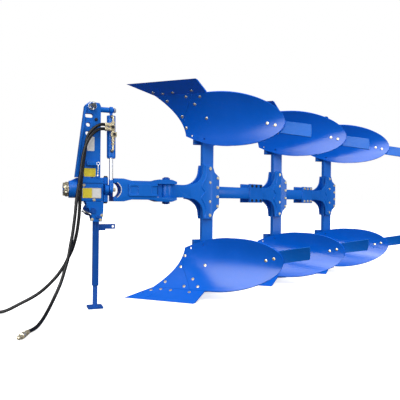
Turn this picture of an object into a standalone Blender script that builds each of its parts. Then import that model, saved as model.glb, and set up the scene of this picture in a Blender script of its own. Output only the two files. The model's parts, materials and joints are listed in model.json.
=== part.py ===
"""Three-furrow reversible mouldboard plough, parked on its shares and its stand.

Metres, +Z up. -X is the front, where the tractor hitches, and the turnover shaft lies along X.
Lengths are first laid out from the shaft's centre line at the back edge of the tower; the whole
plough then hangs from one empty that sets it on z = 0, centred in X and Y.
"""

import math

import bmesh
import bpy
import numpy as np
from mathutils import Matrix, Vector

GAP = 0.0003  # between pieces that touch
RUNNING = 0.0006  # between a shaft and its bore
SEAM = 0.0004  # half the seam between two plates of a body
SEAT = 0.0013  # between two curved plates, whose facets differ

# Layout
FLOOR_Z = -0.642  # cutting edges of the lower shares
PIVOT_X = 0.381  # bolt that joins the yoke and the beam
BODY_STEP = (0.70, 0.357)  # one body to the next, back and sideways
FIRST_LEG = 0.36  # pivot bolt to the first leg, along the beam
BODY_COUNT = 3

# Headstock
TOWER_TOP_Z = 0.468
TOWER_TOP_LENGTH = 0.086
TOWER_FOOT_LENGTH = 0.132
TOWER_Y = (-0.045, -0.015)
TOWER_EDGE_WIDTH = 0.062
TOWER_EDGE_THICK = 0.010
TOP_PIN = (-0.046, 0.441)
TOP_PIN_RADIUS = 0.0125
TOP_PIN_LENGTH = 0.125
SLOT = (-0.063, 0.394, 0.022, 0.0115)  # centre x and z, half length, half height
PLAIN_HOLES = ((-0.066, 0.346), (-0.069, 0.300))
PLAIN_HOLE_RADIUS = 0.0115
HOUSING_X = (-0.116, 0.018)
HOUSING_HALF_Y = 0.050
HOUSING_HALF_Z = 0.064
BOSS_FRONT_X = -0.160
BOSS_RADIUS = 0.046
SHAFT_RADIUS = 0.030
LEDGE_X = (-0.074, -0.014)
LEDGE_Z = (0.128, 0.150)
LOWER_PLATE_THICK = 0.012
LOWER_PLATE_Z = -0.172
CROSS_SHAFT = (-0.036, -0.112)
CROSS_SHAFT_RADIUS = 0.013
CROSS_SHAFT_END_Y = 0.155

# Turnover cylinder
RAM_X = 0.057
RAM_TOP = (-0.030, 0.432)  # y and z of its upper pin
CRANK_RADIUS = 0.055
CRANK_LUG_RADIUS = 0.022
RAM_BARREL_RADIUS = 0.0235
RAM_ROD_RADIUS = 0.0098
RAM_BARREL = (0.032, 0.256)  # from the upper pin, along the ram
RAM_EYE_HALF = 0.008
RAM_EYE_RADIUS = 0.020
RAM_PIN_RADIUS = 0.0085

# Yoke
FLANGE_X = (0.024, 0.043)
FLANGE_RADIUS = 0.050
YOKE_FRONT_X = 0.071
YOKE_WINDOW = (0.068, 0.044, 0.046)  # centre x, radius and half height
YOKE_HALF_Y = 0.055
YOKE_SIDE_Y = (0.080, 0.097)
YOKE_HALF_Z = 0.0625
YOKE_NECK_HALF_Z = 0.0520
PIVOT_BOSS_RADIUS = 0.052
PIVOT_BOLT_RADIUS = 0.014
PIVOT_BOLT_HALF = 0.078

# Beam and legs
BEAM_HALF_Z = 0.0370
BEAM_HALF_WIDTH = 0.036
BRACKET_X = (-0.150, 0.066)
SPLICE_PLACES = (0.464, 0.383)  # from the leg in front, along the beam
SPLICE_LENGTH = 0.150
SPLICE_HALF_Z = 0.064
SPLICE_THICK = 0.014
LEG_X = (-0.043, 0.031)
LEG_HALF_Y = 0.020
LEG_TIP_Z = 0.430
BRACKET_THICK = 0.015

# Bodies. The working face is swept by level lines that start on the shin.
LANDSIDE_Y = 0.050
LANDSIDE_THICK = 0.012
SHARE_ANGLE = math.radians(41.0)
TOP_TWIST = math.radians(9.0)
SHARE_LENGTH = 0.448
SHARE_HEAD = 0.335
SHARE_RISE = 0.056
SHARE_TIP_X = -0.515
SHIN_FOOT_X = -0.333
SHIN_TOP_X = -0.128
SHIN_TOP_Z = 0.320
SHIN_CURVE = 2.15
BOARD_LENGTH = 0.651
BOARD_THICK = 0.008
TAIL_Z = 0.430
TAIL_HALF = 0.153
BOARD_FOOT_Z = 0.586
SHIN_CORNER_Z = 0.350
SEAM_TOP_Z = 0.410
SEAM_FOOT = 0.240
SHARE_THICK = 0.010
POINT_THICK = 0.014
POINT_FOOT = 0.125
POINT_HEAD = 0.080
STRIP_SPAN = (0.500, 0.790)
STRIP_Z = (0.400, 0.345)
STRIP_HALF = 0.036

# Stand
STAND_X = -0.015
STAND_TUBE_HALF = 0.016
STAND_WALL = 0.0035
STAND_TUBE_FOOT_Z = -0.520
STAND_ARM_X = 0.090
STAND_ARM_Z = (-0.214, -0.187)
STAND_LEG_TOP_Z = -0.330
STAND_FOOT_HALF = 0.040
STAND_FOOT_THICK = 0.010

STAND_BOLT = (-0.012, -0.148)
STAND_BOLT_RADIUS = 0.008

# Hoses. Each route starts at its union on the valve.
HOSE_RADIUS = 0.0085
HOSE_EXIT_X = 0.022
HOSE_EXIT_Z = (0.345, 0.322)
VALVE_Z = (0.205, 0.375)
HOSE_A = [
    (0.021, -0.0788, 0.345),
    (-0.002, -0.0788, 0.345),
    (-0.025, -0.0788, 0.3348),
    (-0.056, -0.079, 0.3064),
    (-0.0763, -0.08, 0.2657),
    (-0.0871, -0.082, 0.1942),
    (-0.0961, -0.086, 0.1256),
    (-0.104, -0.091, 0.0469),
    (-0.11, -0.097, -0.0312),
    (-0.1129, -0.102, -0.0986),
    (-0.1177, -0.106, -0.1605),
    (-0.1288, -0.109, -0.2375),
    (-0.1478, -0.106, -0.3094),
    (-0.1658, -0.101, -0.3505),
    (-0.1894, -0.093, -0.4005),
    (-0.2364, -0.075, -0.4678),
    (-0.3091, -0.045, -0.54),
    (-0.4014, -0.015, -0.5951),
    (-0.4729, 0.005, -0.6303),
    (-0.545, 0.013, -0.633),
    (-0.615, 0.01, -0.633),
    (-0.683, -0.002, -0.631),
    (-0.745, -0.018, -0.6283),
]
HOSE_B = [
    (0.0203, -0.0788, 0.322),
    (-0.002, -0.0788, 0.322),
    (-0.0312, -0.087, 0.3079),
    (-0.0654, -0.099, 0.2693),
    (-0.0863, -0.106, 0.2232),
    (-0.1014, -0.111, 0.1599),
    (-0.1104, -0.117, 0.087),
    (-0.1241, -0.122, -0.006),
    (-0.1328, -0.126, -0.0726),
    (-0.1385, -0.13, -0.1339),
    (-0.1489, -0.134, -0.2201),
    (-0.1599, -0.137, -0.2857),
    (-0.1704, -0.141, -0.3458),
    (-0.185, -0.147, -0.4),
    (-0.2089, -0.165, -0.4737),
    (-0.2432, -0.2, -0.5418),
    (-0.2808, -0.262, -0.5982),
    (-0.3115, -0.324, -0.6262),
    (-0.335, -0.376, -0.6325),
    (-0.3628, -0.4396, -0.6283),
]
COUPLER_LENGTH = 0.100
COUPLER_RADIUS = 0.0135

BLUE = (0.010, 0.085, 0.50)
DARK_BLUE = (0.008, 0.060, 0.36)
ZINC = (0.72, 0.66, 0.50)
STEEL = (0.62, 0.63, 0.65)
RUBBER = (0.015, 0.015, 0.016)


def clear_scene():
    for item in list(bpy.data.objects):
        bpy.data.objects.remove(item, do_unlink=True)


def make_material(name, color, roughness, metallic):
    found = bpy.data.materials.get(name)
    if found:
        return found
    made = bpy.data.materials.new(name)
    made.use_nodes = True
    shader = made.node_tree.nodes["Principled BSDF"]
    shader.inputs["Base Color"].default_value = (*color, 1.0)
    shader.inputs["Roughness"].default_value = roughness
    shader.inputs["Metallic"].default_value = metallic
    made.diffuse_color = (*color, 1.0)
    return made


def paint():
    return make_material("blue_paint", BLUE, 0.30, 0.0)


def dark_paint():
    return make_material("dark_blue_paint", DARK_BLUE, 0.35, 0.0)


def zinc():
    return make_material("zinc_plate", ZINC, 0.35, 1.0)


def steel():
    return make_material("bright_steel", STEEL, 0.20, 1.0)


def rubber():
    return make_material("hose_rubber", RUBBER, 0.55, 0.0)


def object_from_bmesh(name, shape):
    bmesh.ops.remove_doubles(shape, verts=shape.verts, dist=1e-6)
    bmesh.ops.recalc_face_normals(shape, faces=shape.faces)
    mesh = bpy.data.meshes.new(name)
    shape.to_mesh(mesh)
    shape.free()
    made = bpy.data.objects.new(name, mesh)
    bpy.context.scene.collection.objects.link(made)
    return made


def prism(name, outline, low, high, axis):
    """The outline, in the plane across the axis, carried from low to high along it."""
    place = {
        "X": lambda u, v, w: (w, u, v),
        "Y": lambda u, v, w: (u, w, v),
        "Z": lambda u, v, w: (u, v, w),
    }[axis]
    shape = bmesh.new()
    foot = [shape.verts.new(place(u, v, low)) for u, v in outline]
    face = shape.faces.new(foot)
    raised = bmesh.ops.extrude_face_region(shape, geom=[face])["geom"]
    step = Vector(place(0.0, 0.0, high - low))
    bmesh.ops.translate(
        shape, verts=[item for item in raised if isinstance(item, bmesh.types.BMVert)], vec=step
    )
    return object_from_bmesh(name, shape)


def block(name, x, y, z):
    outline = [(x[0], y[0]), (x[1], y[0]), (x[1], y[1]), (x[0], y[1])]
    return prism(name, outline, z[0], z[1], "Z")


def rod(name, start, end, radius, sides=20, end_radius=None):
    start = Vector(start)
    end = Vector(end)
    shape = bmesh.new()
    bmesh.ops.create_cone(
        shape,
        cap_ends=True,
        segments=sides,
        radius1=radius,
        radius2=radius if end_radius is None else end_radius,
        depth=(end - start).length,
    )
    turn = (end - start).to_track_quat("Z", "Y").to_matrix().to_4x4()
    bmesh.ops.transform(shape, matrix=Matrix.Translation((start + end) / 2) @ turn, verts=shape.verts)
    return object_from_bmesh(name, shape)


def arc(centre, radius, start, end, steps):
    """Points along a circle, from one angle in degrees to another."""
    angles = np.radians(np.linspace(start, end, steps + 1))
    return [(centre[0] + radius * math.cos(a), centre[1] + radius * math.sin(a)) for a in angles]


def combine(base, adds=(), cuts=()):
    """Joins the adds to the base and takes the cuts away, with live Booleans on hidden helpers."""
    for operation, others in (("UNION", adds), ("DIFFERENCE", cuts)):
        for other in others:
            step = base.modifiers.new(other.name, "BOOLEAN")
            step.operation = operation
            step.object = other
            other.hide_render = True
            other.display_type = "WIRE"
            other.parent = base
    return base


def bevel(item, width, segments=1):
    step = item.modifiers.new("edges", "BEVEL")
    step.width = width
    step.segments = segments
    step.limit_method = "ANGLE"
    step.angle_limit = math.radians(40)
    return item


def finish(item, material, parent, smooth=None):
    item.data.materials.append(material)
    item.parent = parent
    if smooth is not None:
        item.data.shade_smooth()
        item.data.set_sharp_from_angle(angle=math.radians(smooth))
    return item


def empty(name, location, parent=None):
    made = bpy.data.objects.new(name, None)
    bpy.context.scene.collection.objects.link(made)
    made.location = location
    made.parent = parent
    return made


# Bodies


def body_spot(index):
    """Centre of a leg on the beam's centre line."""
    step = Vector((BODY_STEP[0], BODY_STEP[1], 0.0))
    return Vector((PIVOT_X, 0.0, 0.0)) + step.normalized() * FIRST_LEG + step * index


def level_angle(depth):
    """Angle of a level line on the working face to the travel, from how far it is from the beam."""
    share = np.clip((BOARD_FOOT_Z - depth) / (BOARD_FOOT_Z - TAIL_Z + TAIL_HALF), 0.0, 1.0)
    return SHARE_ANGLE + TOP_TWIST * share**1.2


def shin_x(depth):
    """Where the working face meets the landside, from how far it is from the beam."""
    share = np.clip((depth - SHIN_TOP_Z) / (share_top_z() - SHIN_TOP_Z), 0.0, None)
    return SHIN_TOP_X + (SHIN_FOOT_X - SHIN_TOP_X) * share**SHIN_CURVE


def share_top_z():
    return -FLOOR_Z - SHARE_RISE


def face_points(run, depth):
    """Points of the working face: run along a level line, depth below the beam."""
    angle = level_angle(depth)
    return np.stack(
        (shin_x(depth) + run * np.cos(angle), LANDSIDE_Y - run * np.sin(angle), -depth), axis=-1
    )


def face_normals(run, depth):
    """Unit normals of the working face, pointing to the back of the board."""
    small = 1e-4
    along = face_points(run + small, depth) - face_points(run - small, depth)
    down = face_points(run, depth + small) - face_points(run, depth - small)
    normal = np.cross(along, down)
    normal /= np.linalg.norm(normal, axis=-1, keepdims=True)
    return np.where(normal[..., 1:2] < 0, -normal, normal)


def shell(name, run, depth, front, back, side):
    """A plate on the working face, between two distances behind it. side is -1 below the beam."""
    normals = face_normals(run, depth)
    points = face_points(run, depth)
    layers = [points + normals * front, points + normals * back]
    shape = bmesh.new()
    grids = []
    for layer in layers:
        layer[..., 2] *= -side
        grids.append([[shape.verts.new(tuple(p)) for p in row] for row in layer])
    rows, columns = run.shape
    for grid in grids:
        for i in range(rows - 1):
            for j in range(columns - 1):
                shape.faces.new((grid[i][j], grid[i + 1][j], grid[i + 1][j + 1], grid[i][j + 1]))
    rim = [(i, 0) for i in range(rows)]
    rim += [(rows - 1, j) for j in range(1, columns)]
    rim += [(i, columns - 1) for i in range(rows - 2, -1, -1)]
    rim += [(0, j) for j in range(columns - 2, 0, -1)]
    for here, there in zip(rim, rim[1:] + rim[:1]):
        (a, b), (c, d) = here, there
        shape.faces.new((grids[0][a][b], grids[0][c][d], grids[1][c][d], grids[1][a][b]))
    return object_from_bmesh(name, shape)


def tail_curve(run, start):
    """Half height of the rounded tail, as a share, from where it starts to the board's end."""
    share = np.clip((run - start) / (BOARD_LENGTH - start), 0.0, 1.0)
    return np.sqrt(np.clip(1.0 - share**2.6, 0.0, None))


def board_top(run):
    crest = 0.31
    rising = TAIL_Z - TAIL_HALF + (SHIN_CORNER_Z - TAIL_Z + TAIL_HALF) * ((crest - run) / crest) ** 2
    return np.where(run < crest, rising, TAIL_Z - TAIL_HALF * tail_curve(run, crest))


def seam_z(run):
    return SEAM_TOP_Z + (BOARD_FOOT_Z - SEAM_TOP_Z) * (run / SEAM_FOOT) ** 0.7


def board_foot(run):
    tail = TAIL_Z + TAIL_HALF * tail_curve(run, 0.36) + (BOARD_FOOT_Z - TAIL_Z - TAIL_HALF)
    return np.where(run < SEAM_FOOT, seam_z(np.minimum(run, SEAM_FOOT)), tail)


def spread(run, top, foot, rows):
    share = np.linspace(0.0, 1.0, rows)[:, None]
    depth = top[None, :] * (1 - share) + foot[None, :] * share
    return np.broadcast_to(run[None, :], depth.shape), depth


def mouldboard(name, side):
    rear = 1 - np.linspace(1.0, 0.09, 15) ** 2
    run = np.concatenate((np.linspace(0.0, SEAM_FOOT, 7), SEAM_FOOT + (BOARD_LENGTH - SEAM_FOOT) * rear[1:]))
    run, depth = spread(run, board_top(run), board_foot(run) - SEAM, 9)
    return shell(name, run, depth, 0.0, BOARD_THICK, side)


def shin(name, side):
    knots = np.linspace(0.0, SEAM_FOOT, 7)
    run = np.append(knots[:-1], knots[-1] * 0.98)
    run, depth = spread(run, np.interp(run, knots, seam_z(knots)) + SEAM, np.full(7, BOARD_FOOT_Z - SEAM), 7)
    return shell(name, run, depth, 0.0, BOARD_THICK, side)


def share_frame(side):
    """Corner and directions of the share's flat top: along its edge, up its slope and out of it."""
    edge = Vector((math.cos(SHARE_ANGLE), -math.sin(SHARE_ANGLE), 0.0))
    lead = Vector((SHIN_FOOT_X - SHARE_TIP_X, 0.0, SHARE_RISE))
    slope = lead - edge * lead.dot(edge)
    out = edge.cross(slope).normalized()
    if out.z < 0:
        out = -out
    corner = Vector((SHARE_TIP_X, LANDSIDE_Y, FLOOR_Z))
    flip = Matrix.Diagonal((1.0, 1.0, -side, 1.0))
    return corner, edge, slope.normalized(), out, lead.dot(edge), slope.length, flip


def wedge(name, top, inset, thick, side):
    """A flat plate on the share's slope. Its first edge is ground to a bevel that stays off the floor."""
    corner, edge, slope, out, _, _, flip = share_frame(side)
    shape = bmesh.new()
    upper = [corner + edge * e + slope * w for e, w in top]
    share = inset / max(w for _, w in top)
    near = [Vector(top[i]).lerp(Vector(top[3 - i]), share) for i in (0, 1)]
    lower = [corner + edge * e + slope * w - out * thick for e, w in (*near, top[2], top[3])]
    for point in lower:
        point.y = min(point.y, LANDSIDE_Y)
    rings = [[shape.verts.new(flip @ p) for p in ring] for ring in (upper, lower)]
    for ring in rings:
        shape.faces.new(ring)
    for i in range(len(top)):
        j = (i + 1) % len(top)
        shape.faces.new((rings[0][i], rings[0][j], rings[1][j], rings[1][i]))
    return object_from_bmesh(name, shape)


def share_outline(side):
    _, _, _, _, lean, width, _ = share_frame(side)
    return [
        (POINT_FOOT + 2 * SEAM, 0.0),
        (SHARE_LENGTH, 0.0),
        (lean + SHARE_HEAD, width),
        (lean + POINT_HEAD + 2 * SEAM, width),
    ]


def point_outline(side):
    _, _, _, _, lean, width, _ = share_frame(side)
    return [(0.0, 0.0), (POINT_FOOT, 0.0), (lean + POINT_HEAD, width), (lean, width)]


def plate_inset(thick):
    """How far up the slope the underside of a plate starts, so that it stays off the floor."""
    width = (SHIN_FOOT_X - SHARE_TIP_X) * math.sin(SHARE_ANGLE)
    return 1.1 * thick * width / SHARE_RISE


def frog(name, side):
    """What carries the boards: a web on the leg, ribs, the landside, a stay and the tail strip."""
    z = -side
    landside_y = LANDSIDE_Y + 0.85 * BOARD_THICK
    web_y = (LEG_HALF_Y + GAP, landside_y + 0.002)

    def level(low, high):
        return sorted((-z * low, -z * high))

    web = prism(name, [(-0.080, -z * 0.30), (0.060, -z * 0.30), (0.060, -z * 0.60), (-0.080, -z * 0.60)], *web_y, "Y")
    pieces = []
    for depth in (0.455, 0.550):
        angle = float(level_angle(np.array(depth)))
        along = Vector((math.cos(angle), -math.sin(angle)))
        back = Vector((math.sin(angle), math.cos(angle)))
        shin_point = Vector((float(shin_x(np.array(depth))), LANDSIDE_Y))
        near = shin_point + along * 0.050 + back * 0.024
        far = shin_point + along * (0.140 + (0.55 - depth)) + back * 0.024
        outline = [tuple(near), tuple(far), (0.050, -0.02), (0.050, web_y[1]), (near.x, web_y[1])]
        pieces.append(prism(f"{name}_rib_{int(depth * 1000)}", outline, *level(depth - 0.007, depth + 0.007), "Z"))
    run = np.linspace(0.030, 0.150, 4)
    pad_run, pad_depth = spread(run, np.full(4, 0.43), np.full(4, 0.568), 4)
    pieces.append(shell(f"{name}_pad", pad_run, pad_depth, BOARD_THICK + SEAT, 0.022, side))
    landside = [(-0.385, -0.6405), (0.125, -0.6405), (0.125, -0.570), (-0.200, -0.570)]
    landside = [(x, z * depth) for x, depth in landside]
    pieces.append(prism(f"{name}_landside", landside, landside_y, landside_y + LANDSIDE_THICK, "Y"))
    share = np.linspace(0.0, 1.0, 7)
    run = STRIP_SPAN[0] + (STRIP_SPAN[1] - STRIP_SPAN[0]) * share
    middle = STRIP_Z[0] + (STRIP_Z[1] - STRIP_Z[0]) * share
    strip_run, strip_depth = spread(run, middle - STRIP_HALF, middle + STRIP_HALF, 4)
    pieces.append(shell(f"{name}_strip", strip_run, strip_depth, BOARD_THICK + SEAT, 0.017, side))
    place = np.array(0.53), np.array(0.405)
    tail = Vector(face_points(*place) + face_normals(*place) * 0.026)
    tail.z *= z
    pieces.append(rod(f"{name}_stay", (0.045, 0.034, -z * 0.47), tail, 0.011, 10))
    return combine(web, pieces)


# Beam


def beam_y(x):
    """Centre line of the beam in plan."""
    return (x - PIVOT_X) * BODY_STEP[1] / BODY_STEP[0]


def beam_half_y():
    return BEAM_HALF_WIDTH * math.hypot(*BODY_STEP) / BODY_STEP[0]


def beam_bar(name, start, end):
    half = beam_half_y()
    outline = [
        (start, beam_y(start) - half),
        (end, beam_y(end) - half),
        (end, beam_y(end) + half),
        (start, beam_y(start) + half),
    ]
    return prism(name, outline, -BEAM_HALF_Z, BEAM_HALF_Z, "Z")


def inner_beam(turning):
    end = body_spot(0).x + BRACKET_X[0] - GAP
    bar = beam_bar("beam_inner", PIVOT_X, end)
    head = prism("beam_inner_head", arc((PIVOT_X, 0.0), beam_half_y(), 0, 345, 23), -BEAM_HALF_Z, BEAM_HALF_Z, "Z")
    bore = rod("beam_inner_bore", (PIVOT_X, 0, -0.1), (PIVOT_X, 0, 0.1), PIVOT_BOLT_RADIUS + GAP)
    finish(combine(bar, [head], [bore]), paint(), turning)


def outer_beam(index, turning):
    before = body_spot(index - 1)
    start = before.x + BRACKET_X[1] + GAP
    end = body_spot(index).x + BRACKET_X[0] - GAP
    name = ("", "beam_middle", "beam_outer")[index]
    bar = beam_bar(name, start, end)
    along = Vector((BODY_STEP[0], BODY_STEP[1], 0.0)).normalized()
    across = Vector((-along.y, along.x, 0.0))
    middle = before + along * SPLICE_PLACES[index - 1]
    flanges = []
    for number, offset in enumerate((-BEAM_HALF_WIDTH, BEAM_HALF_WIDTH)):
        corners = []
        for u, v in ((-1, -1), (1, -1), (1, 1), (-1, 1)):
            spot = middle + along * (u * SPLICE_LENGTH / 2) + across * (offset + v * SPLICE_THICK / 2)
            corners.append((spot.x, spot.y))
        flanges.append(prism(f"{name}_splice_{number}", corners, -SPLICE_HALF_Z, SPLICE_HALF_Z, "Z"))
    finish(combine(bar, flanges), paint(), turning)


def bracket_outline():
    """Front view of a leg bracket, upper half: hollow fillets up to the leg, chamfered at the back."""
    left = arc((-0.150, 0.138), 0.094, -90, -12, 8)
    upper = [(-0.052, 0.168), (0.020, 0.168), (0.034, 0.124), (0.066, 0.094)]
    return left + upper


def leg_bracket(index, turning):
    spot = body_spot(index)
    upper = bracket_outline()
    outline = [(spot.x + x, z) for x, z in upper + [(x, -z) for x, z in reversed(upper)]]
    front_y = spot.y - LEG_HALF_Y - GAP
    back_y = spot.y + LEG_HALF_Y + GAP
    name = f"leg_bracket_{index + 1}"
    front = prism(name, outline, front_y - BRACKET_THICK, front_y, "Y")
    back = prism(f"{name}_back", outline, back_y, back_y + BRACKET_THICK, "Y")
    core = beam_bar(f"{name}_core", spot.x + BRACKET_X[0], spot.x + BRACKET_X[1])
    finish(combine(front, [back, core]), paint(), turning)


def leg(index, side, turning):
    spot = body_spot(index)
    word = "upper" if side > 0 else "lower"
    z = sorted((side * (BEAM_HALF_Z + GAP), side * LEG_TIP_Z))
    made = block(
        f"leg_{index + 1}_{word}",
        (spot.x + LEG_X[0], spot.x + LEG_X[1]),
        (spot.y - LEG_HALF_Y, spot.y + LEG_HALF_Y),
        z,
    )
    finish(bevel(made, 0.003), paint(), turning)


def plough_body(index, side, turning):
    word = "upper" if side > 0 else "lower"
    place = empty(f"body_{index + 1}_{word}", body_spot(index), turning)
    tag = f"{index + 1}_{word}"
    finish(mouldboard(f"mouldboard_{tag}", side), paint(), place, 40)
    finish(shin(f"shin_{tag}", side), paint(), place, 40)
    inset = plate_inset(SHARE_THICK)
    finish(wedge(f"share_{tag}", share_outline(side), inset, SHARE_THICK, side), paint(), place)
    inset = plate_inset(POINT_THICK)
    finish(wedge(f"share_point_{tag}", point_outline(side), inset, POINT_THICK, side), paint(), place)
    finish(frog(f"frog_{tag}", side), paint(), place)


# Turnover shaft and yoke


def turnover_shaft(turning):
    spindle = rod("turnover_shaft", (-0.188, 0, 0), (FLANGE_X[0] + 0.004, 0, 0), SHAFT_RADIUS, 28)
    ring = arc((0.0, 0.0), FLANGE_RADIUS, 38, 322, 22)
    plate = ring + [(YOKE_SIDE_Y[1], -0.030), (YOKE_SIDE_Y[1], 0.030)]
    flange = prism("shaft_flange", plate, *FLANGE_X, "X")
    cheek = block("shaft_cheek", (FLANGE_X[0], YOKE_FRONT_X - GAP), YOKE_SIDE_Y, (-0.030, 0.030))
    lug = prism("shaft_crank", arc((-CRANK_RADIUS, 0.0), CRANK_LUG_RADIUS, 0, 350, 19), *FLANGE_X, "X")
    finish(combine(spindle, [flange, cheek, lug]), paint(), turning, 40)
    nut = prism("shaft_nut", arc((0.0, 0.0), 0.040, 0, 300, 5), -0.190, BOSS_FRONT_X - 0.0015, "X")
    bore = rod("shaft_nut_bore", (-0.3, 0, 0), (0, 0, 0), SHAFT_RADIUS + GAP, 28)
    finish(combine(nut, [], [bore]), zinc(), turning)


def yoke(turning):
    half = YOKE_HALF_Z
    neck = YOKE_NECK_HALF_Z
    side_view = [
        (YOKE_FRONT_X, -half),
        (0.125, -half),
        (0.170, -neck),
        (0.290, -neck),
        (0.325, -half),
        (0.400, -half),
        (0.430, -neck),
        (0.430, neck),
        (0.400, half),
        (0.325, half),
        (0.290, neck),
        (0.170, neck),
        (0.125, half),
        (YOKE_FRONT_X, half),
    ]
    body = prism("yoke", side_view, -YOKE_HALF_Y, YOKE_HALF_Y, "Y")
    side = block("yoke_side", (YOKE_FRONT_X, 0.085), (0.0, YOKE_SIDE_Y[1]), (-half, half))
    window_x, window_radius, window_half = YOKE_WINDOW
    window_arc = arc((window_x, 0.0), window_radius, -55, 55, 10)
    window = [(0.0, -window_half)] + window_arc + [(0.0, window_half)]
    opening = prism("yoke_window", window, -0.2, YOKE_SIDE_Y[0] - 0.03, "Y")
    through = prism(
        "yoke_through", [(0.086, -window_half)] + window_arc + [(0.086, window_half)], -0.2, 0.2, "Y"
    )
    slot = block("yoke_slot", (PIVOT_X - 0.066, 0.6), (-0.2, 0.2), (-BEAM_HALF_Z - GAP, BEAM_HALF_Z + GAP))
    bore = rod("yoke_bore", (PIVOT_X, 0, -0.1), (PIVOT_X, 0, 0.1), PIVOT_BOLT_RADIUS + GAP)
    finish(combine(body, [side], [opening, through, slot, bore]), paint(), turning)
    shank = rod("pivot_bolt", (PIVOT_X, 0, -PIVOT_BOLT_HALF), (PIVOT_X, 0, PIVOT_BOLT_HALF), PIVOT_BOLT_RADIUS)
    heads = []
    for sign in (-1, 1):
        low, high = sorted((sign * (YOKE_HALF_Z + GAP), sign * (YOKE_HALF_Z + 0.011)))
        outline = arc((PIVOT_X, 0.0), 0.023, 0, 300, 5)
        heads.append(prism(f"pivot_bolt_head_{sign}", outline, low, high, "Z"))
    finish(combine(shank, heads), zinc(), turning)


# Headstock


def tower(fixed):
    front, back = -TOWER_TOP_LENGTH, 0.0
    top = TOWER_TOP_Z
    outline = [
        (-TOWER_FOOT_LENGTH, HOUSING_HALF_Z + GAP),
        (back, HOUSING_HALF_Z + GAP),
        (back, top - 0.020),
        (back - 0.008, top - 0.004),
        (front + 0.026, top),
        (front, top - 0.022),
    ]
    web = prism("tower", outline, *TOWER_Y, "Y")
    middle = sum(TOWER_Y) / 2
    edge = [
        (-TOWER_FOOT_LENGTH, HOUSING_HALF_Z + GAP),
        (-TOWER_FOOT_LENGTH + TOWER_EDGE_THICK, HOUSING_HALF_Z + GAP),
        (front + TOWER_EDGE_THICK, top - 0.022),
        (front, top - 0.022),
    ]
    strip = prism("tower_edge", edge, middle - TOWER_EDGE_WIDTH / 2, middle + TOWER_EDGE_WIDTH / 2, "Y")
    ledge = block("tower_ledge", LEDGE_X, (TOWER_Y[0] - 0.020, TOWER_Y[0] + 0.005), LEDGE_Z)
    stub_y, stub_z = RAM_TOP
    stub = rod("tower_stub", (-0.012, stub_y, stub_z), (0.046, stub_y, stub_z), 0.0145)
    pin = rod("tower_stub_pin", (0.040, stub_y, stub_z), (0.070, stub_y, stub_z), RAM_PIN_RADIUS)
    nut = prism("tower_stub_nut", arc((stub_y, stub_z), 0.013, 0, 300, 5), 0.0675, 0.079, "X")
    cuts = [
        rod(f"tower_hole_{i}", (x, -0.2, z), (x, 0.2, z), PLAIN_HOLE_RADIUS, 16)
        for i, (x, z) in enumerate(PLAIN_HOLES)
    ]
    x, z, long, high = SLOT
    ends = arc((x + long - high, z), high, -90, 90, 6) + arc((x - long + high, z), high, 90, 270, 6)
    cuts.append(prism("tower_slot", ends, -0.2, 0.2, "Y"))
    cuts.append(rod("tower_pin_hole", (TOP_PIN[0], -0.2, TOP_PIN[1]), (TOP_PIN[0], 0.2, TOP_PIN[1]), TOP_PIN_RADIUS + GAP))
    finish(combine(web, [strip, ledge, stub, pin, nut], cuts), paint(), fixed)


def top_link_pin(fixed):
    x, z = TOP_PIN
    middle = sum(TOWER_Y) / 2
    low = middle - TOP_PIN_LENGTH / 2
    shank = rod("top_link_pin", (x, low, z), (x, low + TOP_PIN_LENGTH, z), TOP_PIN_RADIUS)
    collar = rod("top_link_collar", (x, TOWER_Y[1] + GAP, z), (x, TOWER_Y[1] + 0.008, z), 0.018)
    near = rod("top_link_washer", (x, TOWER_Y[0] - 0.006, z), (x, TOWER_Y[0] - GAP, z), 0.0185)
    finish(combine(shank, [collar, near]), steel(), fixed, 40)


def shaft_housing(fixed):
    body = block("shaft_housing", HOUSING_X, (-HOUSING_HALF_Y, HOUSING_HALF_Y), (-HOUSING_HALF_Z, HOUSING_HALF_Z))
    boss = rod("housing_boss", (BOSS_FRONT_X, 0, 0), (HOUSING_X[0] + 0.01, 0, 0), BOSS_RADIUS, 28)
    bore = rod("housing_bore", (-0.3, 0, 0), (0.2, 0, 0), SHAFT_RADIUS + RUNNING, 28)
    finish(combine(bevel(body, 0.004), [boss], [bore]), paint(), fixed)


def lower_hitch(fixed):
    foot = LOWER_PLATE_Z
    head = -HOUSING_HALF_Z - GAP
    outline = [(-0.077, head), (0.018, head), (0.018, -0.112), (0.010, foot), (-0.038, foot), (-0.051, -0.121)]
    outer = HOUSING_HALF_Y
    near = prism("lower_hitch", outline, -outer, -outer + LOWER_PLATE_THICK, "Y")
    far = prism("lower_hitch_far", outline, outer - LOWER_PLATE_THICK, outer, "Y")
    tie = block("lower_hitch_tie", (-0.070, -0.052), (-outer + 0.002, outer - 0.002), (-0.098, -0.080))
    x, z = CROSS_SHAFT
    cut = rod("lower_hitch_bore", (x, -0.2, z), (x, 0.2, z), CROSS_SHAFT_RADIUS + GAP)
    bolt_x, bolt_z = STAND_BOLT
    bolt_hole = rod("lower_hitch_bolt_hole", (bolt_x, -0.2, bolt_z), (bolt_x, 0.2, bolt_z), STAND_BOLT_RADIUS + GAP, 12)
    finish(combine(near, [far, tie], [cut, bolt_hole]), paint(), fixed)
    shaft = rod("lower_cross_shaft", (x, -outer - 0.012, z), (x, CROSS_SHAFT_END_Y, z), CROSS_SHAFT_RADIUS)
    ear = prism("lower_ear", arc((x, z), 0.034, 0, 350, 19), CROSS_SHAFT_END_Y - 0.030, CROSS_SHAFT_END_Y - 0.014, "Y")
    finish(combine(shaft, [ear]), steel(), fixed, 40)


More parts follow.
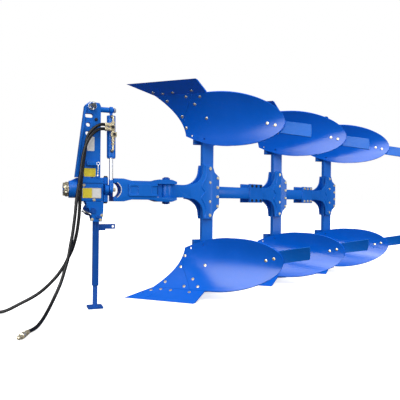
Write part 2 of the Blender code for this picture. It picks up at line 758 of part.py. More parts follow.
def stand(fixed, sliding):
    """Square tube bolted between the lower plates, and the leg that slides in it."""
    half = STAND_TUBE_HALF
    top = LOWER_PLATE_Z + 0.040
    tube = block("stand_tube", (STAND_X - half, STAND_X + half), (-half, half), (STAND_TUBE_FOOT_Z, top))
    inner = half - STAND_WALL
    bore = block("stand_tube_bore", (STAND_X - inner, STAND_X + inner), (-inner, inner), (-0.9, -0.205))
    low, high = STAND_ARM_Z
    arm = block("stand_arm", (STAND_X + inner + 0.001, STAND_ARM_X), (-0.006, 0.006), (low, high))
    step = block("stand_arm_step", (STAND_X + inner + 0.001, STAND_X + 0.052), (-0.006, 0.006), (low - 0.008, high))
    eye = (STAND_ARM_X - 0.012, (low + high) / 2)
    hole = rod("stand_arm_hole", (eye[0], -0.1, eye[1]), (eye[0], 0.1, eye[1]), 0.0065, 12)
    bolt_x, bolt_z = STAND_BOLT
    reach = HOUSING_HALF_Y + 0.010
    held = rod("stand_bolt", (bolt_x, -reach, bolt_z), (bolt_x, reach, bolt_z), STAND_BOLT_RADIUS, 12)
    finish(combine(tube, [arm, step, held], [bore, hole]), dark_paint(), fixed)
    fit = inner - 0.0008
    post = block("stand_leg", (STAND_X - fit, STAND_X + fit), (-fit, fit), (FLOOR_Z + 0.004, STAND_LEG_TOP_Z))
    foot = STAND_FOOT_HALF
    plate = block("stand_foot", (STAND_X - foot, STAND_X + foot), (-foot, foot), (FLOOR_Z, FLOOR_Z + STAND_FOOT_THICK))
    finish(combine(post, [plate]), dark_paint(), sliding)


# Turnover cylinder


def crank_pin():
    """y and z of the crank when the plough stands at rest, out towards the near side."""
    return (-CRANK_RADIUS, 0.0)


def along_ram(distance, offset=0.0):
    """A point on the ram's line, measured from its upper pin."""
    top = Vector((RAM_X, *RAM_TOP))
    foot = Vector((RAM_X, *crank_pin()))
    down = (foot - top).normalized()
    side = Vector((0.0, down.z, -down.y))
    return top + down * distance + side * offset


def ram_length():
    return (Vector(crank_pin()) - Vector(RAM_TOP)).length


def ram(swinging, sliding):
    start, end = RAM_BARREL
    barrel = rod("ram_barrel", along_ram(start), along_ram(end), RAM_BARREL_RADIUS, 28)
    neck = RAM_X - RAM_EYE_HALF, RAM_X + RAM_EYE_HALF
    stub_y, stub_z = RAM_TOP
    eye = rod("ram_top_eye", (neck[0], stub_y, stub_z), (neck[1], stub_y, stub_z), 0.019, 24)
    shank = rod("ram_top_neck", along_ram(0.006), along_ram(start + 0.004), 0.008, 12)
    gland = rod("ram_gland", along_ram(end - 0.016), along_ram(end + 0.006), RAM_BARREL_RADIUS - 0.0015, 28)
    pin_hole = rod("ram_top_hole", (0, stub_y, stub_z), (0.2, stub_y, stub_z), RAM_PIN_RADIUS + GAP, 20)
    bore = rod("ram_bore", along_ram(start + 0.020), along_ram(end + 0.1), RAM_ROD_RADIUS + RUNNING, 20)
    finish(combine(barrel, [eye, shank, gland], [pin_hole, bore]), paint(), swinging, 40)
    foot_y, foot_z = crank_pin()
    stem = rod("ram_rod", along_ram(start + 0.085), along_ram(ram_length() - 0.010), RAM_ROD_RADIUS, 20)
    lower_eye = rod("ram_rod_eye", (neck[0], foot_y, foot_z), (neck[1], foot_y, foot_z), RAM_EYE_RADIUS, 24)
    boss = rod("ram_rod_boss", (neck[0] - 0.003, foot_y, foot_z), (neck[1] + 0.003, foot_y, foot_z), 0.0135, 20)
    finish(combine(stem, [lower_eye, boss]), steel(), sliding, 40)


def valve_block(swinging):
    """Valve and its two hose unions, on the near side of the barrel."""
    near = -0.0905
    far = -0.0670
    low, high = VALVE_Z
    side = RAM_X + RAM_BARREL_RADIUS + GAP
    body = block("valve_block", (RAM_X - 0.008, RAM_X + 0.028), (near, far), (low, high))
    saddle = block("valve_saddle", (side, side + 0.010), (far - 0.004, RAM_TOP[0]), (low + 0.02, high - 0.02))
    unions = []
    for number, z in enumerate(HOSE_EXIT_Z):
        start = (RAM_X + 0.010, (near + far) / 2, z)
        end = (HOSE_EXIT_X, (near + far) / 2, z)
        unions.append(rod(f"hose_union_{number}", start, end, 0.0082, 16))
    finish(combine(body, [saddle] + unions), zinc(), swinging)


# Hoses


def smooth_points(route, spacing):
    """Points on a Catmull-Rom curve through the route, about this far apart."""
    knots = np.array([2 * np.array(route[0]) - np.array(route[1]), *route, 2 * np.array(route[-1]) - np.array(route[-2])])
    found = []
    for a, b, c, d in zip(knots, knots[1:], knots[2:], knots[3:]):
        steps = max(2, int(round(np.linalg.norm(c - b) / spacing)))
        t = np.linspace(0.0, 1.0, steps, endpoint=False)[:, None]
        found.append(
            0.5 * (2 * b + (c - a) * t + (2 * a - 5 * b + 4 * c - d) * t**2 + (3 * b - a - 3 * c + d) * t**3)
        )
    found.append(knots[-2][None, :])
    return np.concatenate(found)


def hose(name, route, parent):
    points = smooth_points(route, 0.042)
    curve = bpy.data.curves.new(name, "CURVE")
    curve.dimensions = "3D"
    curve.bevel_depth = HOSE_RADIUS
    curve.bevel_resolution = 2
    curve.use_fill_caps = True
    line = curve.splines.new("POLY")
    line.points.add(len(points) - 1)
    for spot, point in zip(line.points, points):
        spot.co = (*point, 1.0)
    made = bpy.data.objects.new(name, curve)
    bpy.context.scene.collection.objects.link(made)
    curve.materials.append(rubber())
    made.parent = parent
    return points


def coupler(name, points, parent):
    """Quick coupler on the end of a hose: hexagon, body and nose, in line with it."""
    end = Vector(points[-1])
    way = (end - Vector(points[-2])).normalized()
    way.z = 0.0
    way.normalize()
    start = end + way * 2 * RUNNING
    body = rod(name, start, start + way * (COUPLER_LENGTH * 0.72), COUPLER_RADIUS, 16)
    nose = rod(f"{name}_nose", start + way * (COUPLER_LENGTH * 0.65), start + way * COUPLER_LENGTH, 0.0095, 16)
    finish(combine(body, [nose]), zinc(), parent, 40)


# Whole plough


def place_on_floor(whole):
    """Sets the plough, less its hoses, on z = 0 and centres it."""
    bpy.context.view_layer.update()
    graph = bpy.context.evaluated_depsgraph_get()
    low = np.full(3, np.inf)
    high = np.full(3, -np.inf)
    for item in bpy.data.objects:
        if item.type != "MESH" or item.hide_render or item.name.startswith("hose"):
            continue
        found = item.evaluated_get(graph)
        corners = np.array([found.matrix_world @ Vector(v.co) for v in found.data.vertices])
        low = np.minimum(low, corners.min(axis=0))
        high = np.maximum(high, corners.max(axis=0))
    whole.location = (-(low[0] + high[0]) / 2, -(low[1] + high[1]) / 2, -low[2])


def main():
    clear_scene()
    whole = empty("whole_plough", (0, 0, 0))
    fixed = empty("headstock_frame", (0, 0, 0), whole)
    turning = empty("turnover_axis", (0, 0, 0), whole)
    swinging = empty("ram_swing_axis", (0, 0, 0), whole)
    sliding = empty("ram_slide_axis", (0, 0, 0), whole)
    stand_slide = empty("stand_slide_axis", (0, 0, 0), whole)
    tower(fixed)
    top_link_pin(fixed)
    shaft_housing(fixed)
    lower_hitch(fixed)
    stand(fixed, stand_slide)
    turnover_shaft(turning)
    yoke(turning)
    inner_beam(turning)
    for index in (1, 2):
        outer_beam(index, turning)
    for index in range(BODY_COUNT):
        leg_bracket(index, turning)
        for side in (1, -1):
            leg(index, side, turning)
            plough_body(index, side, turning)
    ram(swinging, sliding)
    valve_block(swinging)
    for letter, route in (("a", HOSE_A), ("b", HOSE_B)):
        points = hose(f"hose_{letter}", route, fixed)
        coupler(f"hose_coupler_{letter}", points, fixed)
    place_on_floor(whole)


main()
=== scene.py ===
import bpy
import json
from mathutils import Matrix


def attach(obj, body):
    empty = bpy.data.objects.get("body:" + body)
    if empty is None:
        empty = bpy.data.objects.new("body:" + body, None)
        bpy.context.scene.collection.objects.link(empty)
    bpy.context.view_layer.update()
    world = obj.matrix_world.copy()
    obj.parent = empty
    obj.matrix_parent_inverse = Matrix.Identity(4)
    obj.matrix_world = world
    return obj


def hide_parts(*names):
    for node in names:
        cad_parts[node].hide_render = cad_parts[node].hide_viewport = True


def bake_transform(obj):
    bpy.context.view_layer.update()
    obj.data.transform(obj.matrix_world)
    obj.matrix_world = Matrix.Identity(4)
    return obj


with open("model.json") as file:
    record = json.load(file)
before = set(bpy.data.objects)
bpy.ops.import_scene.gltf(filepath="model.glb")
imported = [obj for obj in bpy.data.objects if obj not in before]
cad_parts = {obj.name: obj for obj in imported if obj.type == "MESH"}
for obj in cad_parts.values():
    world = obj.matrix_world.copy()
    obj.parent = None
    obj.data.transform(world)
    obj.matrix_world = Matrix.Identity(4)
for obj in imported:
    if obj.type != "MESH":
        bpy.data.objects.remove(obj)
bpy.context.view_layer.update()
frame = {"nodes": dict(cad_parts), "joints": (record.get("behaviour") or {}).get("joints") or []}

import json
import math

import bmesh
import bpy
import numpy as np
from mathutils import Matrix, Vector

# Lengths are laid out in metres from the turnover axis at the tower's back edge: x to the rear, y
# away, z up.
nodes = frame["nodes"]
joints = {joint["name"]: joint for joint in frame["joints"]}
axisPoint = np.array(joints["turnover"]["pos_m"], float)
ramTop = np.array(joints["ram_swing"]["pos_m"], float) - axisPoint
ramWay = np.array(joints["ram_slide"]["axis"], float)
headstock, turning, ramBody, ramRod, standLeg = (
    "headstock", "turning_frame", "ram_body", "ram_rod_body", "stand_leg_body")


def place(points):
    # from the layout to the row's frame
    return np.asarray(points, float) + axisPoint


# camera

view = {
    "eye": (-0.395, -2.621, -0.053),
    "turn": 20.6,  # degrees from the +Y axis towards +X
    "roll": 0.6,
    "lens": 42.75,
    "shift": 0.00125,
}


def makeCamera():
    data = bpy.data.cameras.new("camera")
    data.lens = view["lens"]
    data.sensor_width = 36.0
    data.shift_y = view["shift"]
    data.clip_end = 200.0
    camera = bpy.data.objects.new("camera", data)
    bpy.context.scene.collection.objects.link(camera)
    turn = Matrix.Rotation(
        math.radians(-view["turn"]), 4, "Z"
    ) @ Matrix.Rotation(math.pi / 2, 4, "X")
    roll = Matrix.Rotation(math.radians(view["roll"]), 4, "Z")
    camera.matrix_world = Matrix.Translation(place(view["eye"])) @ turn @ roll
    bpy.context.scene.camera = camera


makeCamera()
print("camera placed")

# meshes


def makePiece(name, points, faces, smooth=None, outward=False):
    mesh = bpy.data.meshes.new(name)
    mesh.from_pydata(np.asarray(points, float).reshape(-1, 3).tolist(), [], faces)
    piece = bpy.data.objects.new(name, mesh)
    bpy.context.scene.collection.objects.link(piece)
    if outward:
        pointOutwards(mesh)
    if smooth is not None:
        mesh.shade_smooth()
        mesh.set_sharp_from_angle(angle=math.radians(smooth))
    return piece


def pointOutwards(mesh):
    shape = bmesh.new()
    shape.from_mesh(mesh)
    bmesh.ops.recalc_face_normals(shape, faces=shape.faces)
    shape.to_mesh(mesh)
    shape.free()


def ringFaces(rings, count, caps=True):
    # quads between each ring and the next, closed round the ring, with one face over each end
    i = np.arange(rings - 1)[:, None]
    j = np.arange(count)[None, :]
    k = (j + 1) % count
    quads = np.stack(
        np.broadcast_arrays(i * count + j, i * count + k, (i + 1) * count + k, (i + 1) * count + j),
        -1
    )
    faces = quads.reshape(-1, 4).tolist()
    if caps:
        faces += [list(range(count))[::-1], list(range((rings - 1) * count, rings * count))]
    return faces


def dress(piece, material, body, slot, *replaced):
    piece.data.materials.clear()
    piece.data.materials.append(material)
    if body:
        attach(piece, body)
    if replaced:
        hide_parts(*replaced)
    return piece


def addBevel(piece, width, segments=2, angle=38):
    step = piece.modifiers.new("edges", "BEVEL")
    step.width = width
    step.segments = segments
    step.limit_method = "ANGLE"
    step.angle_limit = math.radians(angle)
    step.harden_normals = False
    return piece


def turned(profile, count=24):
    # each profile row is a radius, a height and how six-sided the ring is: 0 is a circle, 1 a
    # hexagon
    profile = np.array([(*row, 0.0)[:3] for row in profile], float)
    angle = np.linspace(0.0, 2 * np.pi, count, endpoint=False)
    # a hexagon's radius is that of its flat over the cosine of the angle from the flat's middle
    flat = math.cos(math.pi / 6) / np.cos((angle + math.pi / 6) % (math.pi / 3) - math.pi / 6)
    radius = profile[:, :1] * (1 + profile[:, 2:3] * (flat - 1))
    height = np.broadcast_to(profile[:, 1:2], radius.shape)
    return np.stack((radius * np.cos(angle), radius * np.sin(angle), height), -1)


def framesAlong(ways):
    # for each direction, two unit vectors across it and the direction itself
    ways = np.asarray(ways, float)
    ways = ways / np.linalg.norm(ways, axis=-1, keepdims=True)
    helper = np.where(np.abs(ways[:, 2:3]) < 0.9, [[0.0, 0.0, 1.0]], [[1.0, 0.0, 0.0]])
    side = np.cross(helper, ways)
    side /= np.linalg.norm(side, axis=-1, keepdims=True)
    return np.stack((side, np.cross(ways, side), ways), 1)


def scatter(name, profile, spots, ways, count=24, smooth=35):
    # the same turned shape at every spot, with its axis along that spot's direction
    shape = turned(profile, count)
    rings = len(shape)
    shape = shape.reshape(-1, 3)
    spots = np.asarray(spots, float).reshape(-1, 3)
    ways = np.broadcast_to(np.asarray(ways, float), spots.shape)
    points = spots[:, None, :] + np.einsum("ki,nij->nkj", shape, framesAlong(ways))
    single = ringFaces(rings, count)
    faces = [
        [
            index + copy * len(shape) for index in face
        ] for copy in range(len(spots)) for face in single
    ]
    return makePiece(name, place(points), faces, smooth)


def turnedBetween(name, rows, start, way, count=32, smooth=35):
    return scatter(name, rows, [start], [way], count, smooth)


def tube(name, path, radius, count=12, closed=False):
    # a circle carried along the path. Each ring stands square to the path, turned as little as it
    # can be from the last
    path = np.asarray(path, float)
    if closed:
        way = np.roll(path, -1, 0) - np.roll(path, 1, 0)
    else:
        way = np.gradient(path, axis=0)
    way /= np.linalg.norm(way, axis=1, keepdims=True)
    side = framesAlong(way[:1])[0, 0]
    sides = []
    for direction in way:
        side = side - direction * np.dot(side, direction)
        side = side / np.linalg.norm(side)
        sides.append(side)
    sides = np.array(sides)
    ups = np.cross(way, sides)
    angle = np.linspace(0.0, 2 * np.pi, count, endpoint=False)[None, :, None]
    radius = np.broadcast_to(np.asarray(radius, float), (len(path),))[:, None, None]
    points = path[:, None, :] + radius * (
        sides[:, None, :] * np.cos(angle) + ups[:, None, :] * np.sin(angle)
    )
    rings = len(path)
    if closed:
        points = np.concatenate((points, points[:1]))
        faces = ringFaces(rings + 1, count, caps=False)
        faces = [[index % (rings * count) for index in face] for face in faces]
        points = points[:rings]
    else:
        faces = ringFaces(rings, count)
    return makePiece(name, place(points), faces, 50)


def slab(name, outline, low, high, axis="Y", edge=0.0, smooth=None):
    # the outline, in the plane across the axis, carried from low to high along it
    outline = np.asarray(outline, float)
    order = {"X": (2, 0, 1), "Y": (0, 2, 1), "Z": (0, 1, 2)}[axis]
    levels = np.array([low, high])
    flat = np.stack([np.column_stack((outline, np.full(len(outline), level))) for level in levels])
    points = flat[..., list(order)]
    piece = makePiece(name, place(points), ringFaces(2, len(outline)), smooth, outward=True)
    if edge:
        addBevel(piece, edge)
    return piece


def roundedBox(low, high, radius, steps=4):
    # corners of a rectangle, each turned through a quarter circle
    (x0, y0), (x1, y1) = low, high
    quarter = np.linspace(0.0, np.pi / 2, steps + 1)
    corners = [(x1 - radius, y1 - radius, 0), (x0 + radius, y1 - radius, 1),
               (x0 + radius, y0 + radius, 2), (x1 - radius, y0 + radius, 3)]
    parts = [
        np.column_stack(
            (
                x + radius * np.cos(quarter + q * np.pi / 2),
                y + radius * np.sin(quarter + q * np.pi / 2)
            )
        ) for x,
        y, q in corners
    ]
    return np.concatenate(parts)


def smoothRoute(route, spacing):
    # a Catmull-Rom curve through the route: each stretch is a cubic whose slope at a point is half
    # the step between its neighbours
    route = np.asarray(route, float)
    knots = np.concatenate(([2 * route[0] - route[1]], route, [2 * route[-1] - route[-2]]))
    found = []
    for a, b, c, d in zip(knots, knots[1:], knots[2:], knots[3:]):
        steps = max(2, int(round(np.linalg.norm(c - b) / spacing)))
        t = np.linspace(0.0, 1.0, steps, endpoint=False)[:, None]
        found.append(
            0.5 * (
                2 * b + (c - a) * t + (
                    2 * a - 5 * b + 4 * c - d
                ) * t**2 + (3 * b - a - 3 * c + d) * t**3
            )
        )
    found.append(knots[-2][None, :])
    return np.concatenate(found)


# shader groups


def newGroup(name, inputs, outputs):
    group = bpy.data.node_groups.new(name, "ShaderNodeTree")
    for label, kind, value in inputs:
        socket = group.interface.new_socket(name=label, in_out="INPUT", socket_type=kind)
        socket.default_value = value
    for label, kind in outputs:
        group.interface.new_socket(name=label, in_out="OUTPUT", socket_type=kind)
    return group, group.nodes.new("NodeGroupInput"), group.nodes.new("NodeGroupOutput")


def noiseNode(group, coordinates, scale, detail=3.0, roughness=0.55):
    noise = group.nodes.new("ShaderNodeTexNoise")
    noise.inputs["Scale"].default_value = scale
    noise.inputs["Detail"].default_value = detail
    noise.inputs["Roughness"].default_value = roughness
    group.links.new(coordinates, noise.inputs["Vector"])
    return noise.outputs["Fac"]


def mapNode(group, value, low, high, newLow, newHigh):
    node = group.nodes.new("ShaderNodeMapRange")
    for label, number in (
        ("From Min", low), ("From Max", high), ("To Min", newLow), ("To Max", newHigh)
    ):
        node.inputs[label].default_value = number
    group.links.new(value, node.inputs["Value"])
    return node.outputs["Result"]


def mixNode(group, factor, first, second, blend="MIX"):
    node = group.nodes.new("ShaderNodeMix")
    node.data_type = "RGBA"
    node.blend_type = blend
    for socket, value in (
        (node.inputs["Factor"], factor), (node.inputs[6], first), (node.inputs[7], second)
    ):
        if isinstance(value, bpy.types.NodeSocket):
            group.links.new(value, socket)
        elif socket.type == "RGBA":
            socket.default_value = (*value, 1.0)
        else:
            socket.default_value = value
    return node.outputs[2]


def sprayedCoatGroup():
    # sprayed paint: cloudy film thickness, a faint dust and the small ripple of orange peel
    group, start, end = newGroup(
        "sprayedCoat",
        [
            ("Thick", "NodeSocketColor", (0, 0, 0, 1)), ("Thin", "NodeSocketColor", (0, 0, 0, 1)),
            ("Dust", "NodeSocketFloat", 0.05), ("Gloss", "NodeSocketFloat", 0.3)
        ],
        [
            ("Color", "NodeSocketColor"), ("Roughness", "NodeSocketFloat"),
            ("Height", "NodeSocketFloat")
        ]
    )
    where = group.nodes.new("ShaderNodeTexCoord").outputs["Object"]
    clouds = mapNode(group, noiseNode(group, where, 3.2, 3.0), 0.32, 0.68, 0.0, 1.0)
    film = mixNode(group, clouds, start.outputs["Thick"], start.outputs["Thin"])
    specks = mapNode(group, noiseNode(group, where, 46.0, 5.0, 0.7), 0.52, 0.80, 0.0, 1.0)
    amount = group.nodes.new("ShaderNodeMath")
    amount.operation = "MULTIPLY"
    group.links.new(specks, amount.inputs[0])
    group.links.new(start.outputs["Dust"], amount.inputs[1])
    group.links.new(
        mixNode(group, amount.outputs[0], film, (0.42, 0.44, 0.47)), end.inputs["Color"]
    )
    rough = group.nodes.new("ShaderNodeMath")
    rough.operation = "MULTIPLY_ADD"
    group.links.new(clouds, rough.inputs[0])
    rough.inputs[1].default_value = 0.10
    group.links.new(start.outputs["Gloss"], rough.inputs[2])
    group.links.new(rough.outputs[0], end.inputs["Roughness"])
    group.links.new(noiseNode(group, where, 420.0, 2.0), end.inputs["Height"])
    return group


def platedFilmGroup():
    # zinc plate: a yellow film that is uneven, greyer where it is thin, with fine tool marks
    group, start, end = newGroup(
        "platedFilm",
        [
            ("Bright", "NodeSocketColor", (0, 0, 0, 1)), ("Stain", "NodeSocketColor", (0, 0, 0, 1)),
            ("Size", "NodeSocketFloat", 90.0)
        ],
        [
            ("Color", "NodeSocketColor"), ("Roughness", "NodeSocketFloat"),
            ("Height", "NodeSocketFloat")
        ]
    )
    where = group.nodes.new("ShaderNodeTexCoord").outputs["Object"]
    patches = group.nodes.new("ShaderNodeTexNoise")
    patches.inputs["Detail"].default_value = 4.0
    group.links.new(where, patches.inputs["Vector"])
    group.links.new(start.outputs["Size"], patches.inputs["Scale"])
    share = mapNode(group, patches.outputs["Fac"], 0.38, 0.66, 0.0, 1.0)
    group.links.new(
        mixNode(group, share, start.outputs["Bright"], start.outputs["Stain"]), end.inputs["Color"]
    )
    group.links.new(
        mapNode(group, patches.outputs["Fac"], 0.3, 0.7, 0.24, 0.42), end.inputs["Roughness"]
    )
    group.links.new(noiseNode(group, where, 900.0, 2.0), end.inputs["Height"])
    return group


groups = {"coat": sprayedCoatGroup(), "plated": platedFilmGroup()}


def newMaterial(name):
    material = bpy.data.materials.new(name)
    material.use_nodes = True
    return material, material.node_tree, material.node_tree.nodes["Principled BSDF"]


def joinHeight(tree, shader, height, distance, strength=1.0):
    bump = tree.nodes.new("ShaderNodeBump")
    bump.inputs["Distance"].default_value = distance
    bump.inputs["Strength"].default_value = strength
    tree.links.new(height, bump.inputs["Height"])
    tree.links.new(bump.outputs["Normal"], shader.inputs["Normal"])


def groupMaterial(name, group, values, height, settings):
    # a material whose colour, roughness and fine relief come from one of the groups
    material, tree, shader = newMaterial(name)
    node = tree.nodes.new("ShaderNodeGroup")
    node.node_tree = groups[group]
    for label, value in values.items():
        node.inputs[label].default_value = (*value, 1.0) if isinstance(value, tuple) else value
    tree.links.new(node.outputs["Color"], shader.inputs["Base Color"])
    tree.links.new(node.outputs["Roughness"], shader.inputs["Roughness"])
    joinHeight(tree, shader, node.outputs["Height"], height)
    for label, value in settings.items():
        shader.inputs[label].default_value = value
    return material


def plainMaterial(name, color, roughness, settings, grainScale=300.0, grain=0.00004):
    # one colour, broken by a little grain in its shade and surface
    material, tree, shader = newMaterial(name)
    where = tree.nodes.new("ShaderNodeTexCoord").outputs["Object"]
    shade = mapNode(tree, noiseNode(tree, where, 22.0), 0.3, 0.7, 0.0, 0.5)
    darker = tuple(channel * 0.78 for channel in color)
    tree.links.new(mixNode(tree, shade, color, darker), shader.inputs["Base Color"])
    tree.links.new(
        mapNode(tree, noiseNode(tree, where, 60.0), 0.3, 0.7, roughness * 0.85, roughness * 1.15),
        shader.inputs["Roughness"]
    )
    joinHeight(tree, shader, noiseNode(tree, where, grainScale), grain)
    for label, value in settings.items():
        shader.inputs[label].default_value = value
    return material


glossyPaint = {"Specular IOR Level": 0.5}
satinPaint = {"Specular IOR Level": 0.25}
boardCoat = {
    "Thick": (0.0010, 0.125, 0.68), "Thin": (0.0014, 0.142, 0.76), "Dust": 0.015, "Gloss": 0.14
}
frameCoat = {
    "Thick": (0.0016, 0.125, 0.56), "Thin": (0.0022, 0.145, 0.64), "Dust": 0.04, "Gloss": 0.27
}
shadedCoat = {
    "Thick": (0.0030, 0.070, 0.36), "Thin": (0.0040, 0.084, 0.42), "Dust": 0.05, "Gloss": 0.34
}
zincFilm = {"Bright": (0.86, 0.80, 0.62), "Stain": (0.62, 0.50, 0.27), "Size": 60.0}
materials = {
    "boards": groupMaterial("boardPaint", "coat", boardCoat, 0.00004, glossyPaint),
    "frame": groupMaterial("framePaint", "coat", frameCoat, 0.00008, satinPaint),
    "dark": groupMaterial("shadedPaint", "coat", shadedCoat, 0.00008, satinPaint),
    "zinc": groupMaterial("zincPlate", "plated", zincFilm, 0.00003, {"Metallic": 0.75}),
    # blackened steel for bolts, nuts and caps, and painted shade for the dark inside of the tower's
    # holes
    "blackBoltAndHoleShade": plainMaterial("blackedSteelAndHoleShade", (0.020, 0.022, 0.030), 0.45, {"Metallic": 0.3}),
    "steel": plainMaterial("turnedSteel", (0.62, 0.64, 0.67), 0.24, {"Metallic": 1.0}),
    "chrome": plainMaterial(
        "chromedRod", (0.80, 0.82, 0.85), 0.07, {"Metallic": 1.0}, 60.0, 0.00001
    ),
    "rubber": plainMaterial(
        "hoseRubber", (0.008, 0.008, 0.009), 0.42, {"Specular IOR Level": 0.3}, 700.0, 0.00006
    ),
    # white for the labels, and for the painted highlight along the yoke window's rim
    "white": plainMaterial("whiteLabelAndRimHighlight", (0.80, 0.80, 0.78), 0.42, {"Coat Weight": 0.3}),
    "yellow": plainMaterial("yellowLabel", (0.78, 0.64, 0.035), 0.42, {"Coat Weight": 0.3}),
    "cream": plainMaterial("creamZinc", (0.70, 0.62, 0.42), 0.40, {"Metallic": 0.35}),
}
print("materials made")

# hoses

hoses = {
    "radius": 0.0085,
    "a": [(0.021, -0.0788, 0.345), (-0.002, -0.0788, 0.345), (-0.025, -0.0788, 0.3348),
          (-0.056, -0.079, 0.3064), (-0.0763, -0.08, 0.2657), (-0.0871, -0.082, 0.1942),
          (-0.0961, -0.086, 0.1256), (-0.104, -0.091, 0.0469), (-0.11, -0.097, -0.0312),
          (-0.1129, -0.102, -0.0986), (-0.1177, -0.106, -0.1605), (-0.1288, -0.109, -0.2375),
          (-0.1478, -0.106, -0.3094), (-0.1658, -0.101, -0.3505), (-0.1894, -0.093, -0.4005),
          (-0.2364, -0.075, -0.4678), (-0.3091, -0.045, -0.54), (-0.4014, -0.015, -0.5951),
          (
              -0.4729, 0.005, -0.6303
          ), (-0.545, 0.013, -0.633), (-0.615, 0.01, -0.633), (-0.683, -0.002, -0.631),
          (-0.745, -0.018, -0.6283)],
    "b": [(0.0203, -0.0788, 0.322), (-0.002, -0.0788, 0.322), (-0.0312, -0.087, 0.3079),
          (-0.0654, -0.099, 0.2693), (-0.0863, -0.106, 0.2232), (-0.1014, -0.111, 0.1599),
          (-0.1104, -0.117, 0.087), (-0.1241, -0.122, -0.006), (-0.1328, -0.126, -0.0726),
          (-0.1385, -0.13, -0.1339), (-0.1489, -0.134, -0.2201), (-0.1599, -0.137, -0.2857),
          (-0.1704, -0.141, -0.3458), (-0.185, -0.147, -0.4), (-0.2089, -0.165, -0.4737),
          (-0.2432, -0.2, -0.5418), (-0.2808, -0.262, -0.5982), (-0.3115, -0.324, -0.6262),
          (-0.335, -0.376, -0.6325), (-0.3628, -0.4396, -0.6283)],
}
# radius and height of the turned ends, in metres along the hose
couplerShape = [
    (0.004, 0.0), (0.0100, 0.0), (0.0104, 0.001), (0.0104, 0.016), (0.0088, 0.018), (0.0088, 0.021),
    (0.0132, 0.022, 1), (0.0136, 0.0235, 1), (0.0136, 0.036, 1), (0.0130, 0.0375, 1),
    (0.0112, 0.038), (0.0112, 0.041), (0.0131, 0.042), (0.0134, 0.043), (0.0134, 0.066),
    (0.0126, 0.068), (0.0096, 0.069), (0.0096, 0.074), (0.0086, 0.075), (0.0086, 0.082),
    (0.0095, 0.083), (0.0095, 0.089), (0.0070, 0.096), (0.0045, 0.0985), (0.002, 0.099)
]


def makeHose(letter):
    path = smoothRoute(hoses[letter], 0.012)
    hose = tube(f"pressureHose_{letter}", path, hoses["radius"], 14)
    dress(hose, materials["rubber"], None, "hose_rubber", f"hose_{letter}")
    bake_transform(hose)
    way = path[-1] - path[-2]
    way[2] = 0.0
    way /= np.linalg.norm(way)
    end = turnedBetween(f"quickCoupler_{letter}", couplerShape, path[-1] + way * 0.0008, way, 36)
    dress(end, materials["zinc"], headstock, "zinc_plate", f"hose_coupler_{letter}")


makeHose("a")
makeHose("b")

# plough bodies

body = {
    "count": 3,
    "step": (0.70, 0.357),
    "pivotX": 0.381,
    "firstLeg": 0.36,
    "landside": 0.050,
    "shareAngle": math.radians(41.0),
    "twist": math.radians(9.0),
    "floor": 0.642,  # depth of the share's edge below the beam
    "shareHead": 0.586,
    "shareTipX": -0.515,
    "shinFootX": -0.333,
    "shinTopX": -0.128,
    "shinTop": 0.320,
    "shinCurve": 2.15,
    "boardLength": 0.651,
    "thick": 0.008,
    "tail": 0.430,
    "tailHalf": 0.153,
    "shinCorner": 0.350,
    "seamTop": 0.410,
    "seamFoot": 0.240,
    "seam": 0.0004,
}
boardBolts = [
    (0.015, 0.400), (0.030, 0.467), (0.181, 0.449), (0.180, 0.530), (0.180, 0.571), (0.030, 0.555),
    (0.263, 0.567)
]
tailBolts = [(0.542, 0.399), (0.586, 0.386)]
boardHoles = [(0.042, 0.351), (0.129, 0.327)]
shareBolts = [(0.195, 0.115), (0.137, 0.098), (0.262, 0.112), (0.385, 0.108)]
shareHole = (0.094, 0.073)
flushBolt = [
    (0.0040, -0.0010), (0.0092, -0.0010), (0.0096, 0.0002), (0.0090, 0.0010), (0.0060, 0.0016),
    (0.0020, 0.0018)
]


def legSpot(index):
    step = np.array((*body["step"], 0.0))
    return np.array(
        (body["pivotX"], 0.0, 0.0)
    ) + step / np.linalg.norm(step) * body["firstLeg"] + step * index


def facePoints(run, depth):
    # the working face. Level lines start on the shin, whose x follows a power of the depth, and run
    # out at an
    # angle that grows from the share to the top of the board
    run, depth = np.broadcast_arrays(np.asarray(run, float), np.asarray(depth, float))
    share = np.clip(
        (body["shareHead"] - depth) / (body["shareHead"] - body["tail"] + body["tailHalf"]), 0.0,
        1.0
    )
    angle = body["shareAngle"] + body["twist"] * share**1.2
    down = np.clip((depth - body["shinTop"]) / (body["shareHead"] - body["shinTop"]), 0.0, None)
    shinX = body["shinTopX"] + (body["shinFootX"] - body["shinTopX"]) * down**body["shinCurve"]
    return np.stack(
        (shinX + run * np.cos(angle), body["landside"] - run * np.sin(angle), -depth), -1
    )


def faceNormals(run, depth):
    # from the cross product of the two slopes, always towards the back of the board
    small = 1e-4
    run, depth = np.asarray(run, float), np.asarray(depth, float)
    along = facePoints(run + small, depth) - facePoints(run - small, depth)
    down = facePoints(run, depth + small) - facePoints(run, depth - small)
    normal = np.cross(along, down)
    normal /= np.linalg.norm(normal, axis=-1, keepdims=True)
    return np.where(normal[..., 1:2] < 0, -normal, normal)


def tailCurve(run, start):
    share = np.clip((run - start) / (body["boardLength"] - start), 0.0, 1.0)
    return np.sqrt(np.clip(1.0 - share**2.6, 0.0, None))


def boardTop(run):
    crest = 0.31
    high = body["tail"] - body["tailHalf"]
    rising = high + (body["shinCorner"] - high) * ((crest - run) / crest) ** 2
    return np.where(run < crest, rising, body["tail"] - body["tailHalf"] * tailCurve(run, crest))


def seamDepth(run):
    return body["seamTop"] + (body["shareHead"] - body["seamTop"]) * (run / body["seamFoot"]) ** 0.7


def boardFoot(run):
    low = body["tail"] + body["tailHalf"] * tailCurve(run, 0.36) + (
        body["shareHead"] - body["tail"] - body["tailHalf"]
    )
    return np.where(run < body["seamFoot"], seamDepth(np.minimum(run, body["seamFoot"])), low)


